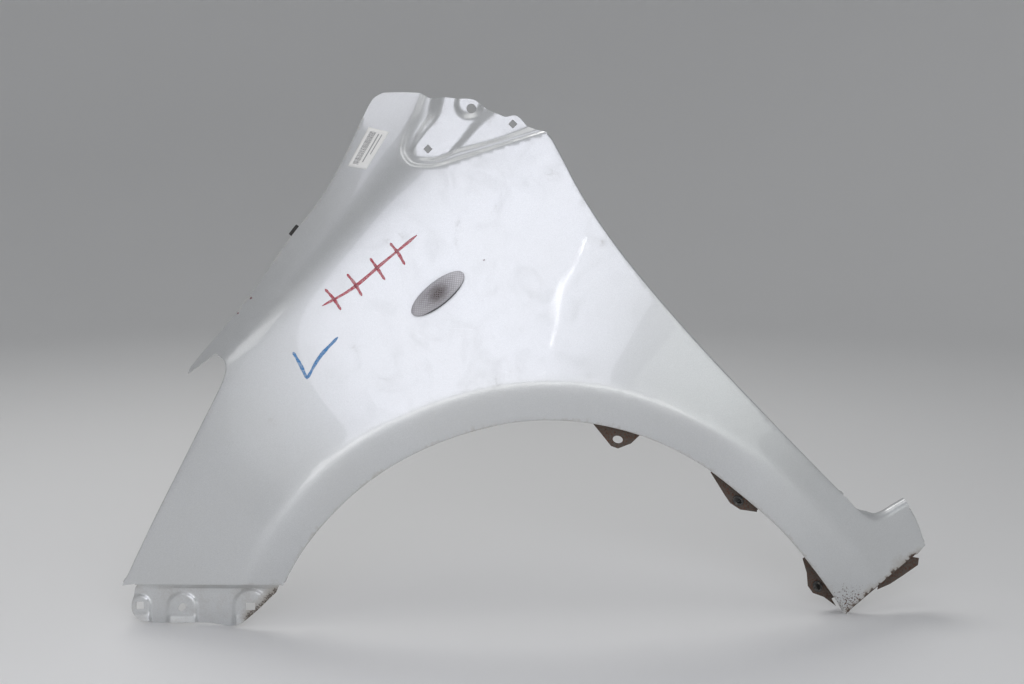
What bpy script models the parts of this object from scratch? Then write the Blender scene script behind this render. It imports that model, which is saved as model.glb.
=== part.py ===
"""Left front fender of a small hatchback: one pressed steel panel with its side repeater lamp,
its two liner grommets and the rubber stop under the bonnet edge.

The panel stands as it does in the photograph, on its bumper flange and its sill corner, with
its outer face towards -Y. Outline points are read off the photograph in its 1024 x 684 frame:
plane() sets them out on the picture plane, and sight() carries them along their lines of sight
to the depth of the body's own sections.
"""

import math

import bmesh
import bpy
import numpy as np
from mathutils import Matrix, Vector
from mathutils.geometry import delaunay_2d_cdt
from mathutils.kdtree import KDTree

# Driving dimensions, in metres
PANEL_LENGTH = 0.941
SHEET = 0.0008
EYE_SHARE = 1.913
EYE_DISTANCE = EYE_SHARE * PANEL_LENGTH
VIEW_TILT = math.radians(8)
CAR_TILT = math.radians(39)
PANEL_YAW = math.radians(7.9)

# Photograph frame: its centre, the wheel's centre and the fender's length in it
FRAME_CENTRE_PIXELS = (512, 342)
WHEEL_CENTRE_PIXELS = (551, 735)
LENGTH_PIXELS = 804

# Body sections: how far the skin leans in towards the roof, the sill and the nose
BULGE_HEIGHT = 0.15
SHOULDER_HEIGHT = 0.60
SHOULDER_LEAN = 0.050
SILL_DROP = 0.26
SILL_TUCK = 0.016
NOSE_START = -0.10
NOSE_REACH = 0.38
NOSE_SWEEP = 0.060

# Wheel arch: the skin swells towards the crease, and the lip folds back below it
FLARE = 0.020
FLARE_REACH = 0.090
LIP_ANGLE = math.radians(16)
CREASE_BLEND = 0.007
CREASE_FADE_START = 0.20
CREASE_FADE_REACH = 0.16

# Shoulder strip beside the bonnet
SHOULDER_ANGLE_FRONT = math.radians(62)
SHOULDER_ANGLE_REAR = math.radians(44)
SHOULDER_BLEND_FRONT = 0.012
SHOULDER_BLEND_REAR = 0.026

# Bolting recess at the top
LEDGE_DROP = 0.004
PAD_DROP = 0.010
PAD_STEP = 0.003
SEAT_DROP = 0.004
SEAT_RADIUS = 0.0185
SEAT_WALL = 0.008
STEP_WALL_LOW = 0.005
STEP_WALL_HIGH = 0.016

# Flanges: outer bend radius and the widths beyond the bends
EDGE_BEND = 0.002
ARCH_RETURN = 0.020
ARCH_BEND = 0.0028
TAB_BEND = 0.0025
TAB_LEAD = 0.001
DOOR_RETURN = 0.011
NOTCH_BEND = 0.011
NOTCH_RETURN = 0.004
NOTCH_GROWTH = 0.020
LAMP_EDGE_RETURN = 0.008
SILL_RETURN = 0.006
GUTTER_BEND = 0.003
GUTTER_WALL = 0.020
GUTTER_FLANGE = 0.021
BUMPER_JOGGLE = 0.006
BUMPER_LEAD = 0.001
BUMPER_RELIEF = (0.0055, 0.0150)
BOSS_RISE = 0.0028
BOSS_WALL = 0.0040
BOSS_RADII = (0.0100, 0.0150, 0.0175)
BOSS_TAIL = 0.0185
LIP_DROP = 0.0090
LIP_BLEND = 0.0015
LIP_SLOPE = math.tan(math.radians(30))
CORNER_RELIEF = 0.004

# Holes
SQUARE_HOLE = 0.0078
BUMPER_SQUARE = 0.0086
BUMPER_WIDE = 0.0108
BUMPER_SLOT_LENGTH = 0.0105
BUMPER_SLOT_WIDTH = 0.0078
BOLT_HOLE = 0.0115
GUTTER_BOLT = 0.0085
TAB_HOLE_LENGTH = 0.0120
TAB_HOLE_WIDTH = 0.0086

# Side repeater lamp
LAMP_LENGTH = 0.0775
LAMP_WIDTH = 0.0285
LAMP_HEIGHT = 0.0090
LAMP_SKIRT = 0.0030
LENS_WALL = 0.0020
LAMP_TURN = math.radians(38.9)
LAMP_OPENING_LENGTH = 0.0625
LAMP_OPENING_WIDTH = 0.0210
GASKET_THICKNESS = 0.0012
GASKET_MARGIN = 0.0006
HOUSING_DEPTH = 0.024
HOUSING_WALL = 0.0014
HOUSING_RIM = 0.0014
HOLDER_RADIUS = 0.0068
HOLDER_INSERT = 0.009
HOLDER_COLLAR = 0.0090
HOLDER_COLLAR_THICKNESS = 0.0022
PLUG_LENGTH = 0.013
PLUG_HALF_WIDTH = 0.0062
PLUG_HALF_HEIGHT = 0.0045
BULB_RADIUS = 0.0046
BULB_LENGTH = 0.0175
BULB_BASE_HALF_WIDTH = 0.0032
BULB_BASE_HALF_DEPTH = 0.0020

# Grommets and rubber stop
GROMMET_FLANGE = 0.0018
GROMMET_HEAD = 0.0016
GROMMET_BARB = 0.0008
GROMMET_NECK = 0.0013
GROMMET_TAIL = 0.0060
GROMMET_FLOOR = 0.0012
STOP_LENGTH = 0.015
STOP_DEPTH = 0.011
STOP_PROUD = 0.0045
STOP_ROUND = 0.0012

# Fit and fineness
CLEARANCE = 0.0003
HOLE_CLEARANCE = 0.0004
EDGE_SPACING = 0.017
ARCH_SPACING = 0.012
RECESS_SPACING = 0.0085
SKIN_SPACING = 0.027
PAD_SPACING = 0.0065
FLANGE_SPACING = 0.0075
GUTTER_SPACING = 0.0135
WELD = 0.00002
BEND_STEPS = 2
SPLINE_STEPS = 24
SHARP_ANGLE = math.radians(40)
SQUARE = math.radians(90)
OVAL_SIDES = 40
SMALL_SIDES = 24
HOLE_SIDES = 12

# Outline of the panel as the photograph shows it, clockwise from the arch's front end
BUMPER_EDGE_PIXELS = ((283, 586), (122, 585.5))
LAMP_EDGE_PIXELS = (
    (122, 585.5), (153, 520), (183, 460), (203, 420), (215, 396), (223, 378), (225, 367),
    (222, 359), (214.8, 353.8),
)
SPUR_EDGE_PIXELS = ((214.8, 353.8), (205, 361), (188, 373.5))
SPUR_TIP_PIXELS = ((188, 373.5), (190, 367.5))
SPUR_TOP_PIXELS = ((190, 367.5), (206, 348), (222, 329.5))
HOOD_EDGE_PIXELS = (
    (222, 329.5), (254, 290), (286, 243.5), (318, 202), (335, 175), (350, 145.5), (364, 115),
)
HOOD_REAR_PIXELS = ((364, 115), (368, 107), (374, 98), (383, 92.8))
STRIP_TOP_PIXELS = ((383, 92.8), (402, 92.2), (420.5, 93))
DOOR_EDGE_PIXELS = (
    (546.8, 131.9), (553, 140), (559, 151), (582, 194), (606, 231), (638, 273), (670, 311),
    (702, 347), (750, 398), (798, 448), (846, 497),
)
NOTCH_PIXELS = (
    (846, 497), (856, 508.5), (866, 518), (877, 521.5), (888, 518.5), (898, 512.5), (909, 506),
)
ROCKER_END_PIXELS = ((909, 506), (914, 514), (920, 527), (925.5, 545))
ROCKER_CORNER_PIXELS = ((925.5, 545), (917.5, 554))
SILL_EDGE_PIXELS = ((917.5, 554), (888, 579), (846, 614.5))
ARCH_EDGE_PIXELS = (
    (846, 614.5), (822, 580), (785, 535), (740, 495), (695, 462), (650, 440), (605, 427),
    (560, 421.5), (515, 423.5), (470, 433.5), (425, 450), (380, 475), (335, 513), (305, 549),
    (283, 586),
)
CREASE_PIXELS = (
    (231, 606), (241.6, 585), (264.5, 542.8), (291.3, 506.4), (321.9, 472), (356.4, 443.3),
    (413, 413), (480, 391), (546, 383.4), (612, 390), (687, 417), (763, 462), (820, 512),
    (868, 570), (890, 606),
)
SHOULDER_LINE_PIXELS = ((222, 352), (402, 160))

# Recess rims: on the skin, at the ledge's inner side, and round the bolting pad
RECESS_RIM_PIXELS = (
    (420.5, 93), (411, 115), (401.5, 138), (400, 153), (408, 164.5), (427, 167.7), (464, 159),
    (505, 145), (546.8, 131.9),
)
LEDGE_RIM_PIXELS = (
    (429.4, 98.2), (425, 115), (412, 138), (409.5, 151), (415, 159), (428, 161.5), (461, 152.5),
    (500, 141.5), (538, 130.3),
)
PAD_RIM_PIXELS = (
    (445, 97.2), (441, 114.5), (424.5, 135), (416.5, 148), (420.5, 155), (431, 157), (459, 147.8),
    (496, 138.3), (527, 126.2),
)
PAD_TOP_PIXELS = (
    (445, 97.2), (457, 98.6), (474, 99.8), (486.5, 108.8), (498, 114), (504.6, 116.8),
    (515.6, 115.5), (527, 126.2),
)
PAD_STEP_PIXELS = ((452, 152), (465, 138), (473, 128), (481, 119), (494, 108))
PAD_PLANE_PIXELS = ((440, 140), (520, 125), (470, 150))
SEAT_PIXELS = (469, 104)
BOLT_HOLE_PIXELS = (471.3, 108.5)
PAD_SQUARE_PIXELS = ((427.9, 149), (512.8, 124))
PAD_MOUNT_PIXELS = (447, 131)

# Bumper flange and sill tab below the skin's edges
BUMPER_FLANGE_PIXELS = (
    (133.8, 596), (131.5, 604), (132.6, 612.5), (138.4, 619.4), (147.6, 621.7), (166, 622.6),
    (206, 622.4), (239.4, 624), (250.5, 616), (262, 606), (270, 598), (276, 592.5),
)
BUMPER_SQUARE_PIXELS = (140, 605.4)
BUMPER_SLOT_PIXELS = (182, 607.3)
BUMPER_WIDE_PIXELS = (250.3, 606.4)
SILL_TAB_PIXELS = ((919.5, 558), (919, 566), (904, 577.5), (890, 587), (881, 590))
SILL_TAB_SHARES = (0.04, 0.48)

# Rows beside the arch crease and the shoulder line, as shares of the bend's width
CREASE_ROW_SHARES = (0, 1, -1, 3, -3)
SHOULDER_ROW_SHARES = (0, 1, -1, 2, -2)

# Shares of the recess walls, domes and bulb at which their rows lie
LEDGE_SHARES = (0.3, 0.65, 1.0)
WALL_SHARES = (0.5, 1.0)
DOME_SHARES = (0, 0.22, 0.45, 0.68, 0.9)
BULB_BASE_SHARE = 0.25
BULB_GLASS_SHARE = 0.42

# Arch tabs: where each leaves the arch edge, and its outline and hole
TABS_PIXELS = {
    "high": ((646, 593), ((603, 436), (611, 446), (618, 448.5), (631, 443.5)), (617.8, 439.5)),
    "mid": ((766, 716), ((724, 494), (730, 503), (740, 509.5), (757, 512)), (738, 500.5)),
    "low": ((834, 810), ((807, 573), (808, 586), (813, 593), (824, 597)), (817.4, 586.2)),
}

LAMP_PIXELS = (438, 294)
STOP_PIXELS = (297.5, 227)
GUTTER_HOLE_SHARES = (0.16, 0.50, 0.84)

PIXEL = PANEL_LENGTH / LENGTH_PIXELS


def plane(pixels):
    """Points of the picture plane, in metres from its centre, for pixels of the photograph."""
    points = np.atleast_2d(np.array(pixels, float))
    across = (points[:, 0] - FRAME_CENTRE_PIXELS[0]) * PIXEL
    up = (FRAME_CENTRE_PIXELS[1] - points[:, 1]) * PIXEL
    return np.column_stack((across, up))


def sight(points, depth):
    """Where lines of sight through the picture plane reach a given depth."""
    dive, level = math.sin(VIEW_TILT), math.cos(VIEW_TILT)
    across = points[:, 0] / EYE_DISTANCE
    up = points[:, 1] / EYE_DISTANCE
    reach = (depth + EYE_DISTANCE * level) / (level + dive * up)
    height = EYE_DISTANCE * dive + reach * (level * up - dive)
    return np.column_stack((reach * across, np.broadcast_to(depth, reach.shape), height))


def project(points):
    """Where points in space appear on the picture plane."""
    dive, level = math.sin(VIEW_TILT), math.cos(VIEW_TILT)
    reach = points - (0, -EYE_DISTANCE * level, EYE_DISTANCE * dive)
    ahead = reach[:, 1] * level - reach[:, 2] * dive
    up = reach[:, 1] * dive + reach[:, 2] * level
    return np.column_stack((reach[:, 0], up)) * (EYE_DISTANCE / ahead)[:, None]


def soft(value, blend):
    """The positive part of a value, rounded off over about the blend's width."""
    return (value + np.sqrt(value * value + blend * blend)) / 2


def smooth(share):
    share = np.clip(share, 0, 1)
    return share * share * (3 - 2 * share)


def dense_curve(corners):
    """A smooth line through the corners, as close points."""
    gaps = np.linalg.norm(np.diff(corners, axis=0), axis=1)[:, None]
    slopes = np.diff(corners, axis=0) / gaps
    middle = (slopes[:-1] * gaps[1:] + slopes[1:] * gaps[:-1]) / (gaps[:-1] + gaps[1:])
    tangents = np.vstack((slopes[:1], middle, slopes[-1:]))
    t = np.linspace(0, 1, SPLINE_STEPS, endpoint=False)[:, None]
    spans = []
    for i, gap in enumerate(gaps):
        start, end = corners[i], corners[i + 1]
        spans.append(
            (2 * t**3 - 3 * t**2 + 1) * start
            + (t**3 - 2 * t**2 + t) * gap * tangents[i]
            + (3 * t**2 - 2 * t**3) * end
            + (t**3 - t**2) * gap * tangents[i + 1]
        )
    return np.vstack(spans + [corners[-1:]])


def along(line, stations):
    """Points of a line at given distances from its start."""
    gaps = np.linalg.norm(np.diff(line, axis=0), axis=1)
    length = np.concatenate(([0], np.cumsum(gaps)))
    return np.column_stack([np.interp(stations, length, line[:, i]) for i in range(line.shape[1])])


def line_length(line):
    return float(np.linalg.norm(np.diff(line, axis=0), axis=1).sum())


def edge_line(pixels, spacing=EDGE_SPACING, inset=0.0, relief=(CORNER_RELIEF, CORNER_RELIEF)):
    """An edge's points, whose first and last steps are where its flange is relieved."""
    line = dense_curve(plane(pixels))
    if inset:
        stations = np.linspace(0, line_length(line), len(line))
        taper = np.minimum(stations, stations[-1] - stations) / (CORNER_RELIEF + inset)
        line = line - outward(line) * inset * smooth(taper)[:, None]
    total = line_length(line)
    if total < 2 * sum(relief):
        return line[[0, -1]]
    count = max(2, round((total - sum(relief)) / spacing) + 1)
    inner = np.linspace(relief[0], total - relief[1], count)
    return along(line, np.concatenate(([0], inner, [total])))


def outward(line):
    """The in-plane direction off an edge that runs clockwise round the panel."""
    step = np.gradient(line, axis=0)
    step /= np.linalg.norm(step, axis=1)[:, None]
    return np.column_stack((-step[:, 1], step[:, 0]))


WHEEL_CENTRE = plane(WHEEL_CENTRE_PIXELS)[0]
CREASE = dense_curve(plane(CREASE_PIXELS))
SHOULDER_LINE = plane(SHOULDER_LINE_PIXELS)


def polar(points):
    """Angle about the wheel's centre, growing towards the rear, and distance from it."""
    reach = points - WHEEL_CENTRE
    return np.arctan2(reach[:, 0], reach[:, 1]), np.linalg.norm(reach, axis=1)


def past_crease(points):
    """Distance outside the arch crease, negative on the lip."""
    angle, radius = polar(points)
    crease_angle, crease_radius = polar(CREASE)
    return radius - np.interp(angle, crease_angle, crease_radius)


def past_shoulder(points):
    """Distance beyond the shoulder line, towards the bonnet, and the share along the line."""
    run = SHOULDER_LINE[1] - SHOULDER_LINE[0]
    length = np.linalg.norm(run)
    run = run / length
    reach = points - SHOULDER_LINE[0]
    return reach @ np.array((-run[1], run[0])), (reach @ run) / length


def body_depth(points):
    """Depth of the side of the body before its folds, from the car's height and length axes.

    The panel stands turned a little about the vertical, so that its two feet are level.
    """
    reach = points - WHEEL_CENTRE
    height = -reach[:, 0] * math.sin(CAR_TILT) + reach[:, 1] * math.cos(CAR_TILT)
    ahead = -reach[:, 0] * math.cos(CAR_TILT) - reach[:, 1] * math.sin(CAR_TILT)
    lean = np.maximum(height - BULGE_HEIGHT, 0) / (SHOULDER_HEIGHT - BULGE_HEIGHT)
    tuck = np.maximum(BULGE_HEIGHT - height, 0) / SILL_DROP
    sweep = np.maximum(ahead - NOSE_START, 0) / NOSE_REACH
    turned = math.tan(PANEL_YAW) * points[:, 0]
    return SHOULDER_LEAN * lean**2 + SILL_TUCK * tuck**2 + NOSE_SWEEP * sweep**2 + turned


def arch_depth(points):
    """Depth that the flare and the lip add on each side of the crease."""
    off = past_crease(points)
    fade = 1 - smooth((points[:, 0] - CREASE_FADE_START) / CREASE_FADE_REACH)
    outside = soft(off, CREASE_BLEND)
    inside = soft(-off, CREASE_BLEND)
    flare = FLARE * (1 - np.exp(-outside / FLARE_REACH))
    return flare + math.tan(LIP_ANGLE) * inside * fade


def shoulder_depth(points):
    off, share = past_shoulder(points)
    share = np.clip(share, 0, 1)
    angle = SHOULDER_ANGLE_FRONT + (SHOULDER_ANGLE_REAR - SHOULDER_ANGLE_FRONT) * share
    blend = SHOULDER_BLEND_FRONT + (SHOULDER_BLEND_REAR - SHOULDER_BLEND_FRONT) * share
    return np.tan(angle) * soft(off, blend)


def skin_depth(points):
    return body_depth(points) + arch_depth(points) + shoulder_depth(points)


def skin(points):
    """Points of the outer skin in space."""
    return sight(points, skin_depth(points))


def plane_depth(points, corners, corner_depths):
    """Depth at which lines of sight meet the flat face through three points."""
    a, b, c = (Vector(p) for p in sight(corners, corner_depths))
    normal = (b - a).cross(c - a)
    near = sight(points, 0.0)
    far = sight(points, EYE_DISTANCE)
    rise_near = (near - np.array(a)) @ np.array(normal)
    rise_far = (far - np.array(a)) @ np.array(normal)
    return EYE_DISTANCE * rise_near / (rise_near - rise_far)


def side_of(points, line):
    """Signed distance from an open line, positive on the right of its direction."""
    best = np.full(len(points), np.inf)
    signed = np.zeros(len(points))
    for start, end in zip(line[:-1], line[1:]):
        run = end - start
        share = np.clip((points - start) @ run / (run @ run), 0, 1)
        gap = points - start - share[:, None] * run
        size = np.linalg.norm(gap, axis=1)
        side = gap[:, 0] * run[1] - gap[:, 1] * run[0]
        nearer = size < best
        best = np.where(nearer, size, best)
        signed = np.where(nearer, np.sign(side) * size, signed)
    return signed


def pad_depth(points):
    """The two flat levels of the bolting pad, the step between them and the sunk bolt seat."""
    corners = plane(PAD_PLANE_PIXELS)
    level = body_depth(corners) + arch_depth(corners) + PAD_DROP
    depth = plane_depth(points, corners, level)
    line = plane(PAD_STEP_PIXELS)
    rise = np.clip((points[:, 1] - line[0][1]) / (line[-1][1] - line[0][1]), 0, 1)
    wall = STEP_WALL_LOW + (STEP_WALL_HIGH - STEP_WALL_LOW) * rise
    lower = smooth((wall / 2 - side_of(points, line)) / wall)
    from_seat = np.linalg.norm(points - plane(SEAT_PIXELS)[0], axis=1)
    seat = smooth((SEAT_RADIUS - from_seat) / SEAT_WALL)
    return depth + PAD_STEP * lower + SEAT_DROP * seat * lower


def pad(points):
    return sight(points, pad_depth(points))


def bumper_edge_depth(points):
    """Flat face of the bumper flange, a joggle behind the skin's lower edge."""
    corners = plane(BUMPER_EDGE_PIXELS + (BUMPER_WIDE_PIXELS,))
    corner_depths = skin_depth(corners) + 2 * EDGE_BEND + BUMPER_JOGGLE
    corner_depths[2] = np.interp(corners[2][0], corners[1::-1, 0], corner_depths[1::-1])
    return plane_depth(points, corners, corner_depths)


def bumper_bosses():
    """Centre and radius of the boss round each hole of the bumper flange."""
    centres = plane((BUMPER_SQUARE_PIXELS, BUMPER_SLOT_PIXELS, BUMPER_WIDE_PIXELS))
    return zip(centres, BOSS_RADII)


def boss_outline(centre, radius):
    """Points round the top of a boss, and down the two sides of its tail."""
    ring = ellipse(centre, 2 * radius, 2 * radius, sides=2 * HOLE_SIDES)
    drops = np.arange(FLANGE_SPACING, BOSS_TAIL, FLANGE_SPACING)
    sides = [centre + (side * radius, -drop) for drop in drops for side in (1, -1)]
    return np.vstack((ring[ring[:, 1] >= centre[1]], sides))


def bumper_depth(points):
    """The bumper flange with a raised boss round each hole, whose foot is turned out."""
    lift = np.zeros(len(points))
    for centre, radius in bumper_bosses():
        reach = points - centre
        reach[:, 1] += np.clip(-reach[:, 1], 0, BOSS_TAIL)
        rise = smooth((radius + BOSS_WALL - np.linalg.norm(reach, axis=1)) / BOSS_WALL)
        turned = LIP_SLOPE * soft(centre[1] - LIP_DROP - points[:, 1], LIP_BLEND)
        lift = np.maximum(lift, rise * (BOSS_RISE + turned))
    return bumper_edge_depth(points) - lift


def bumper_face(points):
    return sight(points, bumper_depth(points))


def inside(points, loop):
    """Which points lie inside a closed loop."""
    count = np.zeros(len(points), int)
    for (x1, y1), (x2, y2) in zip(loop, np.roll(loop, -1, axis=0)):
        crosses = (y1 > points[:, 1]) != (y2 > points[:, 1])
        if y1 != y2:
            at = x1 + (points[:, 1] - y1) * (x2 - x1) / (y2 - y1)
            count += crosses & (points[:, 0] < at)
    return count % 2 == 1


def lattice(loop, spacing):
    """Points in even triangles over a loop's box."""
    low, high = loop.min(axis=0), loop.max(axis=0)
    row_gap = spacing * math.sqrt(3) / 2
    rows = []
    for i, level in enumerate(np.arange(low[1] + row_gap / 2, high[1], row_gap)):
        across = np.arange(low[0] + spacing * (i % 2) / 2, high[0], spacing)
        rows.append(np.column_stack((across, np.full(len(across), level))))
    return np.vstack(rows)


def apart(points, others, gap):
    """The points that keep a gap from the others."""
    tree = KDTree(len(others))
    for i, other in enumerate(others):
        tree.insert((*other, 0), i)
    tree.balance()
    return np.array([p for p in points if tree.find((*p, 0))[2] > gap]).reshape(-1, 2)


def slimness(corners):
    """The least height of each triangle."""
    sides = corners - np.roll(corners, 1, axis=1)
    area = np.abs(sides[:, 0, 0] * sides[:, 1, 1] - sides[:, 0, 1] * sides[:, 1, 0])
    return area / np.linalg.norm(sides, axis=2).max(axis=1)


def ellipse(centre, length, width, turn=0.0, sides=HOLE_SIDES):
    angles = np.arange(sides) * 2 * math.pi / sides
    x, y = np.cos(angles) * length / 2, np.sin(angles) * width / 2
    turned = (x * math.cos(turn) - y * math.sin(turn), x * math.sin(turn) + y * math.cos(turn))
    return np.column_stack(turned) + centre


def rectangle(centre, width, height, turn=0.0):
    x = np.array((-1, 1, 1, -1)) * width / 2
    y = np.array((-1, -1, 1, 1)) * height / 2
    turned = (x * math.cos(turn) - y * math.sin(turn), x * math.sin(turn) + y * math.cos(turn))
    return np.column_stack(turned) + centre


def bend_path(heading, moves):
    """Points of a folded edge in its own section: off the edge, and in towards the car.

    Each move bends with an outer radius to a new heading, then runs straight.
    """
    at = np.zeros(2)
    path = [at]
    for radius, target, run in moves:
        side = 1 if target > heading else -1
        start = at
        for angle in heading + (target - heading) * np.arange(1, BEND_STEPS + 1) / BEND_STEPS:
            turn = np.array((math.sin(angle) - math.sin(heading), math.cos(heading) - math.cos(angle)))
            at = start + side * radius * turn
            path.append(at)
        heading = target
        if run:
            at = at + run * np.array((math.cos(heading), math.sin(heading)))
            path.append(at)
    return path


class Sheet:
    """An open surface made of strips and filled outlines that share their edges."""

    def __init__(self):
        self.mesh = bmesh.new()

    def strip(self, rows):
        """Quads between rows of matching points."""
        rows = [[self.mesh.verts.new(p) for p in row] for row in rows]
        for low, high in zip(rows[:-1], rows[1:]):
            for i in range(len(low) - 1):
                self.mesh.faces.new((low[i], low[i + 1], high[i + 1], high[i]))

    def fill(self, outline, holes, spacing, lift, guides=()):
        """Triangles over an outline with holes, lifted into space; guides are added points."""
        loops = [outline] + list(holes)
        fixed = np.vstack(loops)
        extra = lattice(outline, spacing)
        for guide, gap in guides:
            guide = apart(guide, fixed, gap)
            guide = guide[inside(guide, outline)]
            extra = apart(extra, guide, spacing / 2) if len(guide) else extra
            fixed = np.vstack((fixed, guide))
        extra = apart(extra, fixed, spacing / 2)
        points = np.vstack((fixed, extra[inside(extra, outline)]))
        edges = []
        start = 0
        for loop in loops:
            edges += [(start + i, start + (i + 1) % len(loop)) for i in range(len(loop))]
            start += len(loop)
        flat, _, faces, *_ = delaunay_2d_cdt(points.tolist(), edges, [], 0, WELD / 100)
        flat = np.array([(p.x, p.y) for p in flat])
        corners = flat[np.array(faces)]
        keep = inside(corners.mean(axis=1), outline) & (slimness(corners) > WELD)
        for hole in holes:
            keep &= ~inside(corners.mean(axis=1), hole)
        verts = [self.mesh.verts.new(p) for p in lift(flat)]
        for face, kept in zip(faces, keep):
            if kept:
                self.mesh.faces.new([verts[i] for i in face])

    def hang(self, rows, pixels, holes, spacing):
        """Fills a flat tab that hangs off the last of some rows, and returns its surface."""
        top = project(rows[-1])
        ends, end_depths = top[[0, -1], 0], rows[-1][[0, -1], 1]
        slope = (end_depths[1] - end_depths[0]) / (ends[1] - ends[0])

        def face(points):
            return sight(points, end_depths[0] + slope * (points[:, 0] - ends[0]))

        self.strip([*rows[:-1], face(top)])
        self.fill(np.vstack((top, plane(pixels))), holes, spacing, face)
        return face

    def solid(self, name, collection, thickness):
        """Welds the patches, turns them outward and gives them their thickness."""
        mesh = self.mesh
        bmesh.ops.remove_doubles(mesh, verts=mesh.verts, dist=WELD)
        loose = [v for v in mesh.verts if not v.link_faces]
        bmesh.ops.delete(mesh, geom=loose, context="VERTS")
        bmesh.ops.recalc_face_normals(mesh, faces=mesh.faces)
        if sum(f.normal.y * f.calc_area() for f in mesh.faces) > 0:
            bmesh.ops.reverse_faces(mesh, faces=mesh.faces)
        for edge in mesh.edges:
            edge.smooth = len(edge.link_faces) == 2 and edge.calc_face_angle() < SHARP_ANGLE
        for face in mesh.faces:
            face.smooth = True
        data = bpy.data.meshes.new(name)
        mesh.to_mesh(data)
        mesh.free()
        part = add_object(name, data, collection)
        shell = part.modifiers.new("thickness", "SOLIDIFY")
        shell.thickness = thickness
        shell.offset = -1
        shell.use_even_offset = True
        return part


def fold(edge, surface_depth, moves, growth=None):
    """Rows of points of a flange folded off an edge, the edge itself first."""
    off = outward(edge)
    probe = edge - off * SHEET
    slopes = (surface_depth(edge) - surface_depth(probe)) / SHEET
    growth = np.ones(len(edge)) if growth is None else growth
    columns = []
    for point, way, slope, size in zip(sight(edge, surface_depth(edge)), off, slopes, growth):
        path = bend_path(math.atan(slope), moves)
        columns.append([point + size * np.array((a * way[0], b, a * way[1])) for a, b in path])
    return np.swapaxes(np.array(columns), 0, 1)


def add_object(name, data, collection):
    part = bpy.data.objects.new(name, data)
    collection.objects.link(part)
    return part


def add_material(part, colour, roughness, metallic=0.0):
    material = bpy.data.materials.new(part.name)
    material.use_nodes = True
    shader = material.node_tree.nodes["Principled BSDF"]
    shader.inputs["Base Color"].default_value = (*colour, 1)
    shader.inputs["Roughness"].default_value = roughness
    shader.inputs["Metallic"].default_value = metallic
    part.data.materials.append(material)


def outline_edges():
    """The panel's edges in order; bent ones start inside the silhouette by their bend."""
    return {
        "bumper": edge_line(BUMPER_EDGE_PIXELS, inset=EDGE_BEND, relief=BUMPER_RELIEF),
        "lamp": edge_line(LAMP_EDGE_PIXELS, inset=EDGE_BEND),
        "spur_edge": edge_line(SPUR_EDGE_PIXELS, RECESS_SPACING),
        "spur_tip": edge_line(SPUR_TIP_PIXELS),
        "spur_top": edge_line(SPUR_TOP_PIXELS),
        "hood": edge_line(HOOD_EDGE_PIXELS),
        "hood_rear": edge_line(HOOD_REAR_PIXELS, RECESS_SPACING),
        "strip_top": edge_line(STRIP_TOP_PIXELS, RECESS_SPACING),
        "recess": recess_rims()[0],
        "door": edge_line(DOOR_EDGE_PIXELS, inset=EDGE_BEND),
        "notch": edge_line(NOTCH_PIXELS, RECESS_SPACING),
        "rocker_end": edge_line(ROCKER_END_PIXELS, inset=EDGE_BEND),
        "rocker_corner": edge_line(ROCKER_CORNER_PIXELS),
        "sill": edge_line(SILL_EDGE_PIXELS, RECESS_SPACING, inset=EDGE_BEND),
        "arch": edge_line(ARCH_EDGE_PIXELS, ARCH_SPACING, inset=ARCH_BEND),
    }


def recess_rims():
    """The recess's three rims, with matching points."""
    rims = [dense_curve(plane(r)) for r in (RECESS_RIM_PIXELS, LEDGE_RIM_PIXELS, PAD_RIM_PIXELS)]
    lengths = np.linalg.norm(np.diff(rims[0], axis=0), axis=1)
    stations = np.concatenate(([0], np.cumsum(lengths)))
    count = round(stations[-1] / RECESS_SPACING)
    picks = [int(np.argmin(np.abs(stations - s))) for s in np.linspace(0, stations[-1], count)]
    return [rim[picks] for rim in rims]


def crease_guides():
    """Rows of points along the arch crease and the shoulder line, close where they bend."""
    guides = []
    middle = along(CREASE, np.arange(0, line_length(CREASE), EDGE_SPACING))
    off = middle - WHEEL_CENTRE
    off /= np.linalg.norm(off, axis=1)[:, None]
    for share in CREASE_ROW_SHARES:
        guides.append((middle + off * share * CREASE_BLEND, CREASE_BLEND / 2))
    run = SHOULDER_LINE[1] - SHOULDER_LINE[0]
    length = np.linalg.norm(run)
    across = np.array((-run[1], run[0])) / length
    line = along(SHOULDER_LINE, np.arange(0, length, EDGE_SPACING))
    for share in SHOULDER_ROW_SHARES:
        guides.append((line + across * share * SHOULDER_BLEND_FRONT, SHOULDER_BLEND_FRONT / 2))
    return guides


def lamp_opening():
    """The lamp's opening on the picture plane, drawn smaller by its distance behind it."""
    centre = plane(LAMP_PIXELS)
    shrink = EYE_DISTANCE / (EYE_DISTANCE + skin_depth(centre)[0])
    size = (LAMP_OPENING_LENGTH * shrink, LAMP_OPENING_WIDTH * shrink)
    return ellipse(centre[0], *size, LAMP_TURN, sides=2 * HOLE_SIDES)


def add_skin(sheet, edges):
    loop = np.vstack([edge[:-1] for edge in edges.values()])
    sheet.fill(loop, [lamp_opening()], SKIN_SPACING, skin, crease_guides())


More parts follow.
